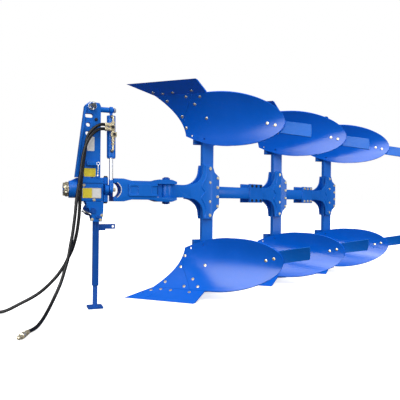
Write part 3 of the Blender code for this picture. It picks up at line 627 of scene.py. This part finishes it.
def curvedPlate(name, run, top, foot, rows, spot, side):
    # a plate on the working face: each ring goes down the front from top to foot and back up behind
    # it
    share = np.linspace(0.0, 1.0, rows)[None, :]
    depth = top[:, None] * (1 - share) + foot[:, None] * share
    run = np.broadcast_to(run[:, None], depth.shape)
    front = facePoints(run, depth)
    back = front + faceNormals(run, depth) * body["thick"]
    points = np.concatenate((front, back[:, ::-1]), axis=1)
    points[..., 2] *= -side
    count = 2 * rows
    faces = ringFaces(len(points), count, caps=False)
    inner = np.arange(rows - 1)
    cap = np.stack((inner, inner + 1, count - 2 - inner, count - 1 - inner), -1)
    faces += cap.tolist() + (cap + (len(points) - 1) * count).tolist()
    return makePiece(name, place(points + spot), faces, 40, outward=True)


def cutAway(piece, cutter):
    step = piece.modifiers.new("cut", "BOOLEAN")
    step.operation = "DIFFERENCE"
    step.solver = "EXACT"
    step.object = cutter
    graph = bpy.context.evaluated_depsgraph_get()
    cut = bpy.data.meshes.new_from_object(piece.evaluated_get(graph))
    piece.modifiers.clear()
    piece.data = cut
    bpy.data.objects.remove(cutter, do_unlink=True)
    return piece


def drill(piece, spots, ways, radius, depth=0.03):
    rows = [(radius, -depth), (radius, depth)]
    cutAway(piece, scatter("drill", rows, spots, ways, 20, None))
    piece.data.shade_smooth()
    piece.data.set_sharp_from_angle(angle=math.radians(40))


def shareSpots(pairs):
    # on the share's flat top: along its edge from the tip, and up its slope
    angle = body["shareAngle"]
    edge = np.array((math.cos(angle), -math.sin(angle), 0.0))
    lead = np.array((body["shinFootX"] - body["shareTipX"], 0.0, body["floor"] - body["shareHead"]))
    slope = lead - edge * np.dot(lead, edge)
    slope /= np.linalg.norm(slope)
    out = np.cross(edge, slope)
    out *= np.sign(out[2])
    pairs = np.asarray(pairs, float).reshape(-1, 2)
    tip = np.array((body["shareTipX"], body["landside"], -body["floor"]))
    spots = tip + pairs[:, :1] * edge + pairs[:, 1:] * slope
    return spots, np.broadcast_to(out, spots.shape)


def makeBody(index, side):
    tag = f"{index + 1}_{'upper' if side > 0 else 'lower'}"
    spot = legSpot(index)
    mirror = np.array((1.0, 1.0, -side))
    foot = body["seamFoot"]
    rear = 1 - np.linspace(1.0, 0.02, 40) ** 2
    run = np.concatenate(
        (np.linspace(0.0, foot, 20), foot + (body["boardLength"] - foot) * rear[1:])
    )
    board = curvedPlate(
        f"boardSkin_{tag}", run, boardTop(run), boardFoot(run) - body["seam"], 22, spot, side
    )
    holes = np.array(boardHoles)
    spots = facePoints(holes[:, 0], holes[:, 1]) * mirror + spot
    ways = faceNormals(holes[:, 0], holes[:, 1]) * mirror
    drill(board, spots, ways, 0.0062)
    dress(addBevel(board, 0.0013), materials["boards"], turning, "blue_paint", f"mouldboard_{tag}")
    run = np.linspace(0.0, foot * 0.98, 18)
    shin = curvedPlate(
        f"shinSkin_{tag}", run, seamDepth(run) + body["seam"],
        np.full(18, body["shareHead"] - body["seam"]), 14, spot, side
    )
    dress(addBevel(shin, 0.0010), materials["boards"], turning, "blue_paint", f"shin_{tag}")
    pairs = np.array(boardBolts + tailBolts)
    spots = facePoints(pairs[:, 0], pairs[:, 1])
    ways = -faceNormals(pairs[:, 0], pairs[:, 1])
    onShare, out = shareSpots(shareBolts)
    spots = np.concatenate((spots, onShare)) * mirror + spot
    ways = np.concatenate((ways, out)) * mirror
    bolts = scatter(f"ploughBolts_{tag}", flushBolt, spots, ways, 20, 60)
    dress(bolts, materials["zinc"], turning, "zinc_plate")
    for kind in ("share", "share_point"):
        blade = softened(f"{kind}_{tag}", 0.0012, turning, "boards", dissolve=True)
        if kind == "share_point":
            holeSpot, holeWay = shareSpots([shareHole])
            drill(blade, holeSpot * mirror + spot, holeWay * mirror, 0.0055)


def softened(node, width, bodyName, finish, slot="blue_paint", dissolve=False):
    # a copy of a CAD node with its edges rounded, and its flat faces made one where dissolve is set
    mesh = nodes[node].data.copy()
    shape = bmesh.new()
    shape.from_mesh(mesh)
    bmesh.ops.remove_doubles(shape, verts=shape.verts, dist=2e-6)
    if dissolve:
        bmesh.ops.dissolve_limit(
            shape, angle_limit=math.radians(0.8), verts=shape.verts, edges=shape.edges
        )
    shape.to_mesh(mesh)
    shape.free()
    piece = bpy.data.objects.new(f"{node}_skin", mesh)
    bpy.context.scene.collection.objects.link(piece)
    mesh.shade_smooth()
    mesh.set_sharp_from_angle(angle=math.radians(35))
    addBevel(piece, width)
    return dress(piece, materials[finish], bodyName, slot, node)


for index in range(body["count"]):
    for side in (1, -1):
        makeBody(index, side)
print("plough bodies made")

# frame pieces that keep their CAD shape

rounding = {
    "tower": (0.0022, headstock, "frame"),
    "shaft_housing": (0.0020, headstock, "frame"),
    "lower_hitch": (0.0018, headstock, "frame"),
    "stand_tube": (0.0014, headstock, "dark"),
    "stand_leg": (0.0014, standLeg, "dark"),
    "yoke": (0.0030, turning, "frame"),
    "beam_inner": (0.0030, turning, "frame"),
    "beam_middle": (0.0030, turning, "frame"),
    "beam_outer": (0.0030, turning, "frame"),
}
for node, (width, owner, finish) in rounding.items():
    softened(node, width, owner, finish, "dark_blue_paint" if finish == "dark" else "blue_paint")

finishes = {"steel": ("top_link_pin",), "dark": ("pivot_bolt", "lower_cross_shaft")}
keeps = {name: finish for finish, names in finishes.items() for name in names}
for name, node in nodes.items():
    if not node.hide_render:
        node.data.materials.clear()
        node.data.materials.append(materials[keeps.get(name, "frame")])
print("frame pieces made")

# leg brackets, measured from the leg's centre

bracket = {
    "reach": (-0.150, 0.066),
    "plate": 0.015,
    "legHalf": 0.0203,
    "coreHalf": 0.037,
    "beamHalf": 0.036,
    "fillet": (-0.150, 0.138, 0.094),
    "lead": -0.205,
    "bend": 0.010,
    "top": [(-0.052, 0.168), (0.020, 0.168), (0.034, 0.124), (0.066, 0.094)],
    "bigBolts": [(0.0, 0.145)],
    "midBolts": [(0.0, 0.0595)],
    "edgeBolts": [(0.055, 0.088), (0.055, 0.029)],
    "ridge": [
        (-0.040, 0.163), (-0.030, 0.120), (-0.040, 0.078), (-0.066, 0.040), (-0.060, 0.022),
        (-0.040, 0.0)
    ],
    "rib": 0.0055,
    "spliceAt": (0.464, 0.383),
    "spliceOut": 0.0432,
}
# hexagon head on a washer: radius, height and six-sidedness
hexBolt = [
    (0.3, -0.05), (1.30, -0.05), (1.30, 0.14), (1.24, 0.20), (0.98, 0.20, 1), (1.0, 0.26, 1),
    (1.0, 0.72, 1), (0.86, 0.86, 0.3), (0.3, 0.88)
]


def boltRows(size):
    return [(row[0] * size, row[1] * size, *row[2:]) for row in hexBolt]


def bracketOutline():
    # the fillet is part of a circle between the beam and the leg, and the lower half mirrors the
    # upper
    x, z, radius = bracket["fillet"]
    angle = np.radians(np.linspace(-90.0, -12.0, 24))
    curve = np.column_stack((x + radius * np.cos(angle), z + radius * np.sin(angle)))
    upper = np.concatenate((curve, bracket["top"]))
    return np.concatenate((upper, upper[::-1] * (1, -1)))


def nearFace(x):
    # y of the near face, from the leg's centre: flat behind the bend, and along the beam's near
    # side in front of it
    slope = body["step"][1] / body["step"][0]
    return -bracket["legHalf"] - bracket["plate"] + np.minimum(
        np.asarray(x, float) - bracket["bend"], 0.0
    ) * slope


def bentPlate(index):
    # a ring of four corners at each x, whose half height is the bracket's outline, led on to the
    # beam in front
    spot = legSpot(index)
    outline = bracketOutline()
    upper = outline[: len(outline) // 2]
    x = np.concatenate(
        (np.linspace(bracket["lead"], upper[0, 0], 6)[:-1], upper[:, 0], [bracket["bend"]])
    )
    x = np.unique(np.round(np.sort(x), 5))
    half = np.interp(
        x, np.append(bracket["lead"], upper[:, 0]),
        np.append(bracket["coreHalf"] + 0.001, upper[:, 1])
    )
    near = nearFace(x)
    far = near + bracket["plate"]
    rings = np.stack((np.column_stack((x, near, half)), np.column_stack((x, near, -half)),
                      np.column_stack((x, far, -half)), np.column_stack((x, far, half))), 1)
    return makePiece(
        f"bracketNear_{index}", place(rings + spot), ringFaces(len(x), 4), 40, outward=True
    )


def bothWays(pairs):
    # the same places above and below the beam
    pairs = np.asarray(pairs, float)
    return np.concatenate((pairs, pairs * (1, -1)))


def makeBracket(index):
    spot = legSpot(index)
    node = f"leg_bracket_{index + 1}"
    outline = bracketOutline() + spot[[0, 2]]
    farFace = spot[1] + bracket["legHalf"] + bracket["plate"]
    near = addBevel(bentPlate(index), 0.0028)
    far = slab(
        f"bracketFar_{index}", outline, farFace - bracket["plate"], farFace, edge=0.0030, smooth=35
    )
    slope = body["step"][1] / body["step"][0]
    half = bracket["beamHalf"] * math.hypot(1.0, slope)
    ends = np.array(
        [(x, spot[1] + (x - spot[0]) * slope) for x in spot[0] + np.array(bracket["reach"])]
    )
    around = np.concatenate((ends - (0, half - 0.010), ends[::-1] + (0, half)))
    core = slab(
        f"bracketCore_{index}", around, -bracket["coreHalf"], bracket["coreHalf"], "Z", 0.0025
    )
    for piece in (near, far, core):
        dress(piece, materials["frame"], turning, "blue_paint", node)
    ridge = np.array(bracket["ridge"])
    ridge = np.concatenate((ridge, (ridge * (1, -1))[-2::-1]))
    path = smoothRoute(np.column_stack((ridge[:, 0], np.zeros(len(ridge)), ridge[:, 1])), 0.006)
    path[:, 1] = nearFace(path[:, 0]) + 0.0010
    rib = tube(f"bracketRib_{index}", path + spot * (1, 1, 0), bracket["rib"], 14)
    dress(rib, materials["frame"], turning, "blue_paint")
    for size, pairs in ((0.0088, "bigBolts"), (0.0070, "midBolts"), (0.0070, "edgeBolts")):
        places = bothWays(bracket[pairs])
        for face, way in (
            (nearFace(places[:, 0]) + spot[1], (0, -1, 0)),
            (np.full(len(places), farFace), (0, 1, 0))
        ):
            spots = np.column_stack((places[:, 0] + spot[0], face, places[:, 1]))
            bolts = scatter(f"bracketBolts_{index}_{pairs}", boltRows(size), spots, way, 24, 30)
            dress(bolts, materials["cream"], turning, "zinc_plate")


def makeSplice(index):
    along = np.array((*body["step"], 0.0))
    along /= np.linalg.norm(along)
    across = np.array((-along[1], along[0], 0.0))
    middle = legSpot(index) + along * bracket["spliceAt"][index]
    steps = np.array([(u, v) for v in (-0.050, 0.050) for u in (-0.050, 0.0, 0.050)])
    for sign in (-1, 1):
        spots = middle + along * steps[:, :1] + np.array(
            (0, 0, 1.0)
        ) * steps[:, 1:] + across * sign * bracket["spliceOut"]
        bolts = scatter(
            f"spliceBolts_{index}_{sign}", boltRows(0.0082), spots, across * sign, 24, 30
        )
        dress(bolts, materials["blackBoltAndHoleShade" if index == 0 else "cream"], turning, "zinc_plate")


for index in range(body["count"]):
    makeBracket(index)
for index in range(body["count"] - 1):
    makeSplice(index)
print("leg brackets made")

# yoke: a packing piece behind the pivot, a raised box on the near side, and the turnover stops

yoke = {
    "packing": (0.310, 0.347),
    "packingHalfZ": 0.036,
    "packingHalfY": 0.034,
    "box": (0.153, 0.316),
    "boxHalf": 0.0335,
    "recesses": ((0.161, 0.206), (0.281, 0.330)),
    "recessHalf": 0.023,
    "nearY": -0.0550,
    "stops": 0.031,
    "stopZ": (0.030, 0.066),
    "rimMiddle": (0.068, -0.0555),
    "rimRadii": (0.0445, 0.0455),
}
(packFront, packBack), packHalf = yoke["packing"], yoke["packingHalfZ"]
packOutline = [
    (packFront, -packHalf), (packBack, -packHalf), (packBack, packHalf), (packFront, packHalf)
]
packing = slab("yokePacking", packOutline, -yoke["packingHalfY"], yoke["packingHalfY"])
dress(packing, materials["frame"], turning, "blue_paint")


def raisedBox():
    (x0, x1), half, face = yoke["box"], yoke["boxHalf"], yoke["nearY"]
    box = slab("yokeBox", roundedBox((x0, -half), (x1, half), 0.006), face - 0.0065, face + 0.0005)
    deep = yoke["recessHalf"]
    for low, high in yoke["recesses"]:
        outline = roundedBox((low, -deep), (high, deep), 0.008)
        cutAway(box, slab("recess", outline, face - 0.02, face - 0.0015))
    dress(addBevel(box, 0.0018), materials["frame"], turning, "blue_paint")


raisedBox()
for sign in (-1, 1):
    x = yoke["stops"]
    stop = slab(
        f"turnoverStop_{sign}", roundedBox((x - 0.0115, -0.045), (x + 0.0115, -0.012), 0.004),
        *sorted(sign * z for z in yoke["stopZ"]), "Z", 0.0015
    )
    dress(stop, materials["frame"], turning, "blue_paint")
    bolt = turnedBetween(
        f"stopBolt_{sign}", boltRows(0.0098), (x, -0.0285, sign * yoke["stopZ"][1]), (0, 0, sign)
    )
    dress(bolt, materials["blackBoltAndHoleShade"], turning, "zinc_plate")
print("yoke details made")

# turnover cylinder: rod, foot and the valve with its unions, all in the layout

ram = {
    "pin": (-0.055, 0.0),
    "x": 0.057,
    "barrelRadius": 0.0235,
    "rodRadius": 0.0098,
    "rodFrom": 0.117,
    "rodShort": 0.050,
}
rodFoot = np.array((ram["x"], *ram["pin"]))
rodLength = float(np.linalg.norm(rodFoot - ramTop))
rodTop = ramTop + ramWay * ram["rodFrom"]
stemLength = rodLength - ram["rodFrom"] - ram["rodShort"]
stem = [(ram["rodRadius"], 0.0), (ram["rodRadius"], stemLength)]
rod = turnedBetween("chromeRod", stem, rodTop, ramWay, 32)
dress(rod, materials["chrome"], ramRod, "bright_steel", "ram_rod")
socket = [
    (0.0070, 0.0), (0.0118, 0.0), (0.0124, 0.003), (0.0126, 0.018), (0.0128, 0.030),
    (0.0115, 0.046), (0.0, 0.047)
]
dress(
    turnedBetween("rodSocket", socket, rodFoot - ramWay * 0.052, ramWay, 32), materials["frame"],
    ramRod, "blue_paint"
)
eye = [
    (0.0, 0.0), (0.0170, 0.0), (0.0195, 0.0025), (0.0200, 0.005), (0.0200, 0.013), (0.0190, 0.0160),
    (0.0, 0.0160)
]
dress(
    turnedBetween("rodEye", eye, rodFoot - (0.008, 0, 0), (1, 0, 0), 40), materials["frame"],
    ramRod, "blue_paint"
)
# the crank's own pin turns with the yoke
pinEnd = [
    (0.0, 0.0), (0.0115, 0.0), (0.0115, 0.0025), (0.0100, 0.003), (0.0100, 0.0125),
    (0.0085, 0.0140), (0.0, 0.0142)
]
dress(
    turnedBetween("crankPinEnd", pinEnd, rodFoot + (0.0085, 0, 0), (1, 0, 0)), materials["cream"],
    turning, "zinc_plate"
)
# the window's rim is part of an ellipse about its middle. The white tube laid along it is a painted
# highlight, standing in for the light caught on the window's bevelled edge
(rimX, rimY), (rimLong, rimHigh) = yoke["rimMiddle"], yoke["rimRadii"]
rimAngle = np.radians(np.linspace(-62.0, 62.0, 30))
rim = np.column_stack(
    (rimX + rimLong * np.cos(rimAngle), np.full(30, rimY), rimHigh * np.sin(rimAngle))
)
dress(tube("paintedRimHighlight", rim, 0.0021, 10), materials["white"], turning, "blue_paint")
topNut = turnedBetween("ramTopNut", boltRows(0.0110), (0.0735, ramTop[1], ramTop[2]), (1, 0, 0))
dress(topNut, materials["cream"], headstock, "zinc_plate")

valveLine = -0.0790  # y of the valve's column and the hoses
valveX = 0.0605
# radius, height down from the top and six-sidedness
column = [
    (0.0, 0.0), (0.0062, 0.0), (0.0062, 0.010), (0.0096, 0.0105, 1), (0.0100, 0.0115, 1),
    (0.0100, 0.0235, 1), (0.0072, 0.024), (0.0072, 0.029), (0.0104, 0.0295), (0.0104, 0.041),
    (0.0078, 0.0415), (0.0078, 0.0455), (0.0108, 0.046, 1), (0.0108, 0.060, 1), (0.0070, 0.0605),
    (0.0070, 0.068), (0.0092, 0.0685), (0.0092, 0.100), (0.0066, 0.101), (0.0066, 0.106),
    (0.0094, 0.1065, 1), (0.0094, 0.117, 1), (0.0060, 0.1175), (0.0060, 0.124), (0.0088, 0.1245, 1),
    (0.0088, 0.134, 1), (0.0058, 0.1345), (0.0058, 0.150), (0.0, 0.150)
]
columnTop = (valveX, valveLine, 0.374)
dress(
    turnedBetween("valveColumn", column, columnTop, (0, 0, -1), 36, 30), materials["cream"],
    ramBody, "zinc_plate", "valve_block"
)
valveBox = slab(
    "valveBox", roundedBox((0.0480, 0.281), (0.0785, 0.308), 0.004), -0.0915, -0.0665, edge=0.0012
)
dress(valveBox, materials["cream"], ramBody, "zinc_plate")
knob = [
    (0.0, 0.0), (0.0078, 0.0), (0.0082, 0.001), (0.0082, 0.008), (0.0070, 0.0095), (0.0, 0.0098)
]
knobSpots = [(valveX + 0.004, -0.0915, 0.2945), (valveX - 0.0035, valveLine - 0.009, 0.334)]
dress(
    scatter("valveCaps", knob, knobSpots, (0, -1, 0), 24, 30), materials["blackBoltAndHoleShade"], ramBody,
    "zinc_plate"
)


def elbow(name, z, rise):
    # a quarter bend from the column to its port on the barrel
    port = np.array(
        (
            ram["x"], ramTop[1] + ramWay[1] * (ramTop[2] - z - rise) - ram["barrelRadius"] + 0.006,
            z + rise
        )
    )
    start = np.array((valveX, valveLine, z))
    path = smoothRoute(
        [start, start + (0, 0.0005, rise * 0.72), port + (0, -0.012, 0.0), port], 0.003
    )
    dress(tube(name, path, 0.0062, 16), materials["cream"], ramBody, "zinc_plate")
    ring = [
        (0.0062, 0.0), (0.0098, 0.0, 1), (0.0102, 0.001, 1), (0.0102, 0.009, 1), (0.0062, 0.010)
    ]
    dress(
        turnedBetween(f"{name}Nut", ring, port + (0, -0.011, 0), (0, 1, 0)), materials["blackBoltAndHoleShade"],
        ramBody, "zinc_plate"
    )


elbow("upperElbow", 0.373, 0.020)
elbow("lowerElbow", 0.225, -0.016)
# the unions run from the hose ends up to the column
union = [
    (0.0065, 0.0), (0.0105, 0.0), (0.0110, 0.001), (0.0110, 0.0055), (0.0100, 0.0065),
    (0.0100, 0.011), (0.0110, 0.012), (0.0110, 0.017), (0.0096, 0.018), (0.0086, 0.020),
    (0.0086, 0.023), (0.0112, 0.0235, 1), (0.0116, 0.0245, 1), (0.0116, 0.034, 1),
    (0.0112, 0.035, 1), (0.0080, 0.0355), (0.0080, 0.046), (0.0, 0.046)
]
for number, height in enumerate((0.345, 0.322)):
    start = np.array((0.0165, -0.0788, height))
    dress(
        turnedBetween(f"hoseUnion_{number}", union, start, (1, 0, 0.035), 36, 30),
        materials["cream"], ramBody, "zinc_plate"
    )
print("cylinder details made")

# headstock: castle nut, labels, pins and clips

headFace = -0.0453  # near face of the tower
caseFace = -0.0503  # near face of the housing


def castleNut():
    # the hexagon, then a round crown with six slots for the split pin
    rows = [
        (0.0305, 0.0), (0.0365, 0.0), (0.0380, 0.002, 1), (0.0392, 0.003, 1), (0.0392, 0.014, 1),
        (0.0375, 0.016, 0.6), (0.0350, 0.0165), (0.0345, 0.026), (0.0330, 0.0270), (0.0305, 0.0270)
    ]
    nut = turnedBetween("castleNut", rows + [rows[0]], (-0.1625, 0, 0), (-1, 0, 0), 72, 30)
    pointOutwards(nut.data)
    for turn in np.radians((0, 60, 120)):
        along = np.array((0.0, math.cos(turn), math.sin(turn)))
        cutter = turnedBetween(
            "slot", [(0.0042, -0.05), (0.0042, 0.05)], np.array((-0.1875, 0, 0)), along, 4
        )
        pointOutwards(cutter.data)
        cutAway(nut, cutter)
    nut.data.shade_smooth()
    nut.data.set_sharp_from_angle(angle=math.radians(30))
    dress(nut, materials["zinc"], turning, "zinc_plate", "shaft_nut")


castleNut()


def label(name, low, high, face, finish, thick=0.0008, radius=0.003):
    piece = slab(name, roundedBox(low, high, radius), face - thick, face + 0.0004)
    dress(piece, materials[finish], headstock, "blue_paint")


label("towerLabel", (-0.0705, 0.2054), (-0.0330, 0.2813), headFace, "white")
label("warningLabel", (-0.0859, 0.0680), (-0.0252, 0.1128), headFace, "yellow")
label("plateRim", (-0.0935, -0.0466), (0.0043, 0.0076), caseFace, "cream", 0.0012, 0.002)
label("plateYellow", (-0.0920, -0.0450), (-0.0445, 0.0062), caseFace, "yellow", 0.0018, 0.001)
label("plateWhite", (-0.0425, -0.0432), (0.0025, 0.0045), caseFace, "white", 0.0018, 0.001)
caseBand = slab(
    "caseBand", roundedBox((-0.112, 0.034), (0.014, 0.061), 0.004), caseFace - 0.005,
    caseFace + 0.001, edge=0.0018
)
dress(caseBand, materials["frame"], headstock, "blue_paint")
gusset = slab(
    "caseGusset", [(-0.158, 0.030), (-0.158, 0.043), (-0.1165, 0.0640), (-0.1165, 0.030)], -0.018,
    0.018, edge=0.002
)
dress(gusset, materials["frame"], headstock, "blue_paint")
smallBolts = [(-0.0863, caseFace, 0.0215), (-0.0323, caseFace, -0.0560)]
lowerPins = [(-0.0419, caseFace, -0.1600), (0.0095, caseFace, -0.1380), (0.0020, caseFace, -0.1620)]
dress(
    scatter("caseBolts", boltRows(0.0062), smallBolts + lowerPins, (0, -1, 0), 24, 30),
    materials["cream"], headstock, "zinc_plate"
)
# black caps in the tower's two holes are painted shade: dark knobs standing in for the shadowed
# inside of the holes
holeShadeSpots = [(-0.0250, headFace, 0.3745), (-0.0440, headFace, 0.0570)]
dress(
    scatter("towerHoleShade", knob, holeShadeSpots, (0, -1, 0), 20, 30), materials["blackBoltAndHoleShade"], headstock,
    "zinc_plate"
)


def ringPath(centre, radius, across, count=40):
    # a circle whose axis is the given direction
    side, up, _ = framesAlong(np.array([across], float))[0]
    angle = np.linspace(0.0, 2 * np.pi, count, endpoint=False)[:, None]
    return np.asarray(centre, float) + radius * (side * np.cos(angle) + up * np.sin(angle))


pinRing = tube(
    "topPinRing", ringPath((-0.0488, -0.0760, 0.4405), 0.0205, (0.10, 1.0, 0.12)), 0.0019, 12, True
)
dress(pinRing, materials["steel"], headstock, "bright_steel")
linch = turnedBetween(
    "topPinLinch",
    [
        (0.0, 0.0), (0.0036, 0.0), (0.0042, 0.002), (0.0042, 0.030), (0.0062, 0.031),
        (0.0062, 0.038), (0.0, 0.039)
    ],
    (-0.0440, -0.0800, 0.4190), (0.05, 0.0, 1.0)
)
dress(linch, materials["steel"], headstock, "bright_steel")
clip = [
    (-0.0146, -0.0665, 0.1300), (-0.0150, -0.0680, 0.1120), (-0.0156, -0.0660, 0.0940),
    (-0.0158, -0.0640, 0.0760)
]
dress(
    tube("clipShank", smoothRoute(clip, 0.003), 0.0026, 12), materials["steel"], headstock,
    "bright_steel"
)
clipRing = tube(
    "clipRing", ringPath((-0.0146, -0.0672, 0.1372), 0.0082, (0.4, 1.0, 0.0)), 0.0018, 12, True
)
dress(clipRing, materials["steel"], headstock, "bright_steel")
clipFoot = turnedBetween(
    "clipFoot", [(0.0, 0.0), (0.0045, 0.0), (0.0072, 0.004), (0.0076, 0.008), (0.0, 0.0085)],
    (-0.0158, -0.0640, 0.0790), (0, 0, -1)
)
dress(clipFoot, materials["steel"], headstock, "bright_steel")
bar = [(0.0, 0.0), (0.0078, 0.0), (0.0085, 0.001), (0.0085, 0.050), (0.0078, 0.051), (0.0, 0.051)]
lever = turnedBetween("hitchLever", bar, (-0.0946, -0.0560, -0.1110), (0.89, 0.0, -0.45))
dress(lever, materials["steel"], headstock, "bright_steel")
print("headstock details made")

# floor, world and lights


def makeStage():
    mesh = bpy.data.meshes.new("floor")
    half, drop = 60.0, -0.0008
    corners = [(-half, -half, drop), (half, -half, drop), (half, half, drop), (-half, half, drop)]
    mesh.from_pydata(corners, [], [(0, 1, 2, 3)])
    floor = bpy.data.objects.new("floor", mesh)
    bpy.context.scene.collection.objects.link(floor)
    floor.visible_glossy = False
    floor.visible_diffuse = False
    material, _, shader = newMaterial("floorPaint")
    settings = {"Base Color": (0.85, 0.85, 0.85, 1.0), "Roughness": 0.9, "Specular IOR Level": 0.0,
                "Emission Color": (1.0, 1.0, 1.0, 1.0), "Emission Strength": 0.60}
    for socketName, value in settings.items():
        shader.inputs[socketName].default_value = value
    mesh.materials.append(material)
    bpy.context.scene.view_settings.view_transform = "Standard"


# what lights the paint from below, level and above, and what its gloss reflects away from and in
# the bright sky
sky = {"below": 0.16, "level": 0.55, "above": 1.45, "dull": 0.05, "bright": 6.0}


def feed(tree, socket, value):
    # a socket takes a link from another, or a value of its own
    if isinstance(value, bpy.types.NodeSocket):
        tree.links.new(value, socket)
    else:
        socket.default_value = value


def sumNode(tree, first, second, operation="ADD"):
    node = tree.nodes.new("ShaderNodeMath")
    node.operation = operation
    for socket, value in zip(node.inputs, (first, second)):
        feed(tree, socket, value)
    return node.outputs[0]


def pickNode(tree, factor, off, on):
    node = tree.nodes.new("ShaderNodeMix")
    tree.links.new(factor, node.inputs["Factor"])
    for socket, value in ((node.inputs[2], off), (node.inputs[3], on)):
        feed(tree, socket, value)
    return node.outputs[0]


def makeWorld():
    # the camera sees white, the paint is lit by a sky that grows brighter upwards, and its gloss
    # reflects a bright sky above a dark skyline that drops towards the camera
    world = bpy.data.worlds.new("studio")
    bpy.context.scene.world = world
    world.use_nodes = True
    tree = world.node_tree
    background = tree.nodes["Background"]
    background.inputs["Color"].default_value = (1.0, 1.0, 1.0, 1.0)
    way = tree.nodes.new("ShaderNodeTexCoord").outputs["Generated"]
    split = tree.nodes.new("ShaderNodeSeparateXYZ")
    tree.links.new(way, split.inputs["Vector"])
    ground = mapNode(tree, split.outputs["Z"], -0.35, 0.05, sky["below"], sky["level"])
    air = mapNode(tree, split.outputs["Z"], 0.05, 0.8, 0.0, sky["above"] - sky["level"])
    # height above the skyline is z less 1.64 y less 0.9
    above = sumNode(tree, split.outputs["Z"], sumNode(tree, split.outputs["Y"], -1.64, "MULTIPLY"))
    clear = mapNode(tree, above, 0.90, 1.06, 0.0, 1.0)
    aside = mapNode(tree, split.outputs["X"], -0.45, -0.20, 1.0, 0.0)
    shine = mapNode(
        tree, sumNode(tree, clear, aside, "MULTIPLY"), 0.0, 1.0, sky["dull"], sky["bright"]
    )
    rays = tree.nodes.new("ShaderNodeLightPath")
    light = pickNode(tree, rays.outputs["Is Glossy Ray"], sumNode(tree, ground, air), shine)
    tree.links.new(
        pickNode(tree, rays.outputs["Is Camera Ray"], light, 1.0), background.inputs["Strength"]
    )


softLights = [
    # place, target, size, power
    ((-1.2, -3.6, 3.2), (0.9, 0.4, 0.0), (2.6, 1.6), 60.0),
    ((3.2, -3.0, 0.4), (1.4, 0.4, 0.1), (1.2, 2.4), 50.0),
]


def makeLights():
    for number, (spot, target, size, power) in enumerate(softLights):
        data = bpy.data.lights.new(f"softbox_{number}", "AREA")
        data.shape = "RECTANGLE"
        data.size, data.size_y = size
        data.energy = power
        light = bpy.data.objects.new(f"softbox_{number}", data)
        bpy.context.scene.collection.objects.link(light)
        turn = (Vector(target) - Vector(spot)).to_track_quat("-Z", "Y").to_matrix().to_4x4()
        light.matrix_world = Matrix.Translation(place(spot)) @ turn


makeStage()
makeWorld()
makeLights()
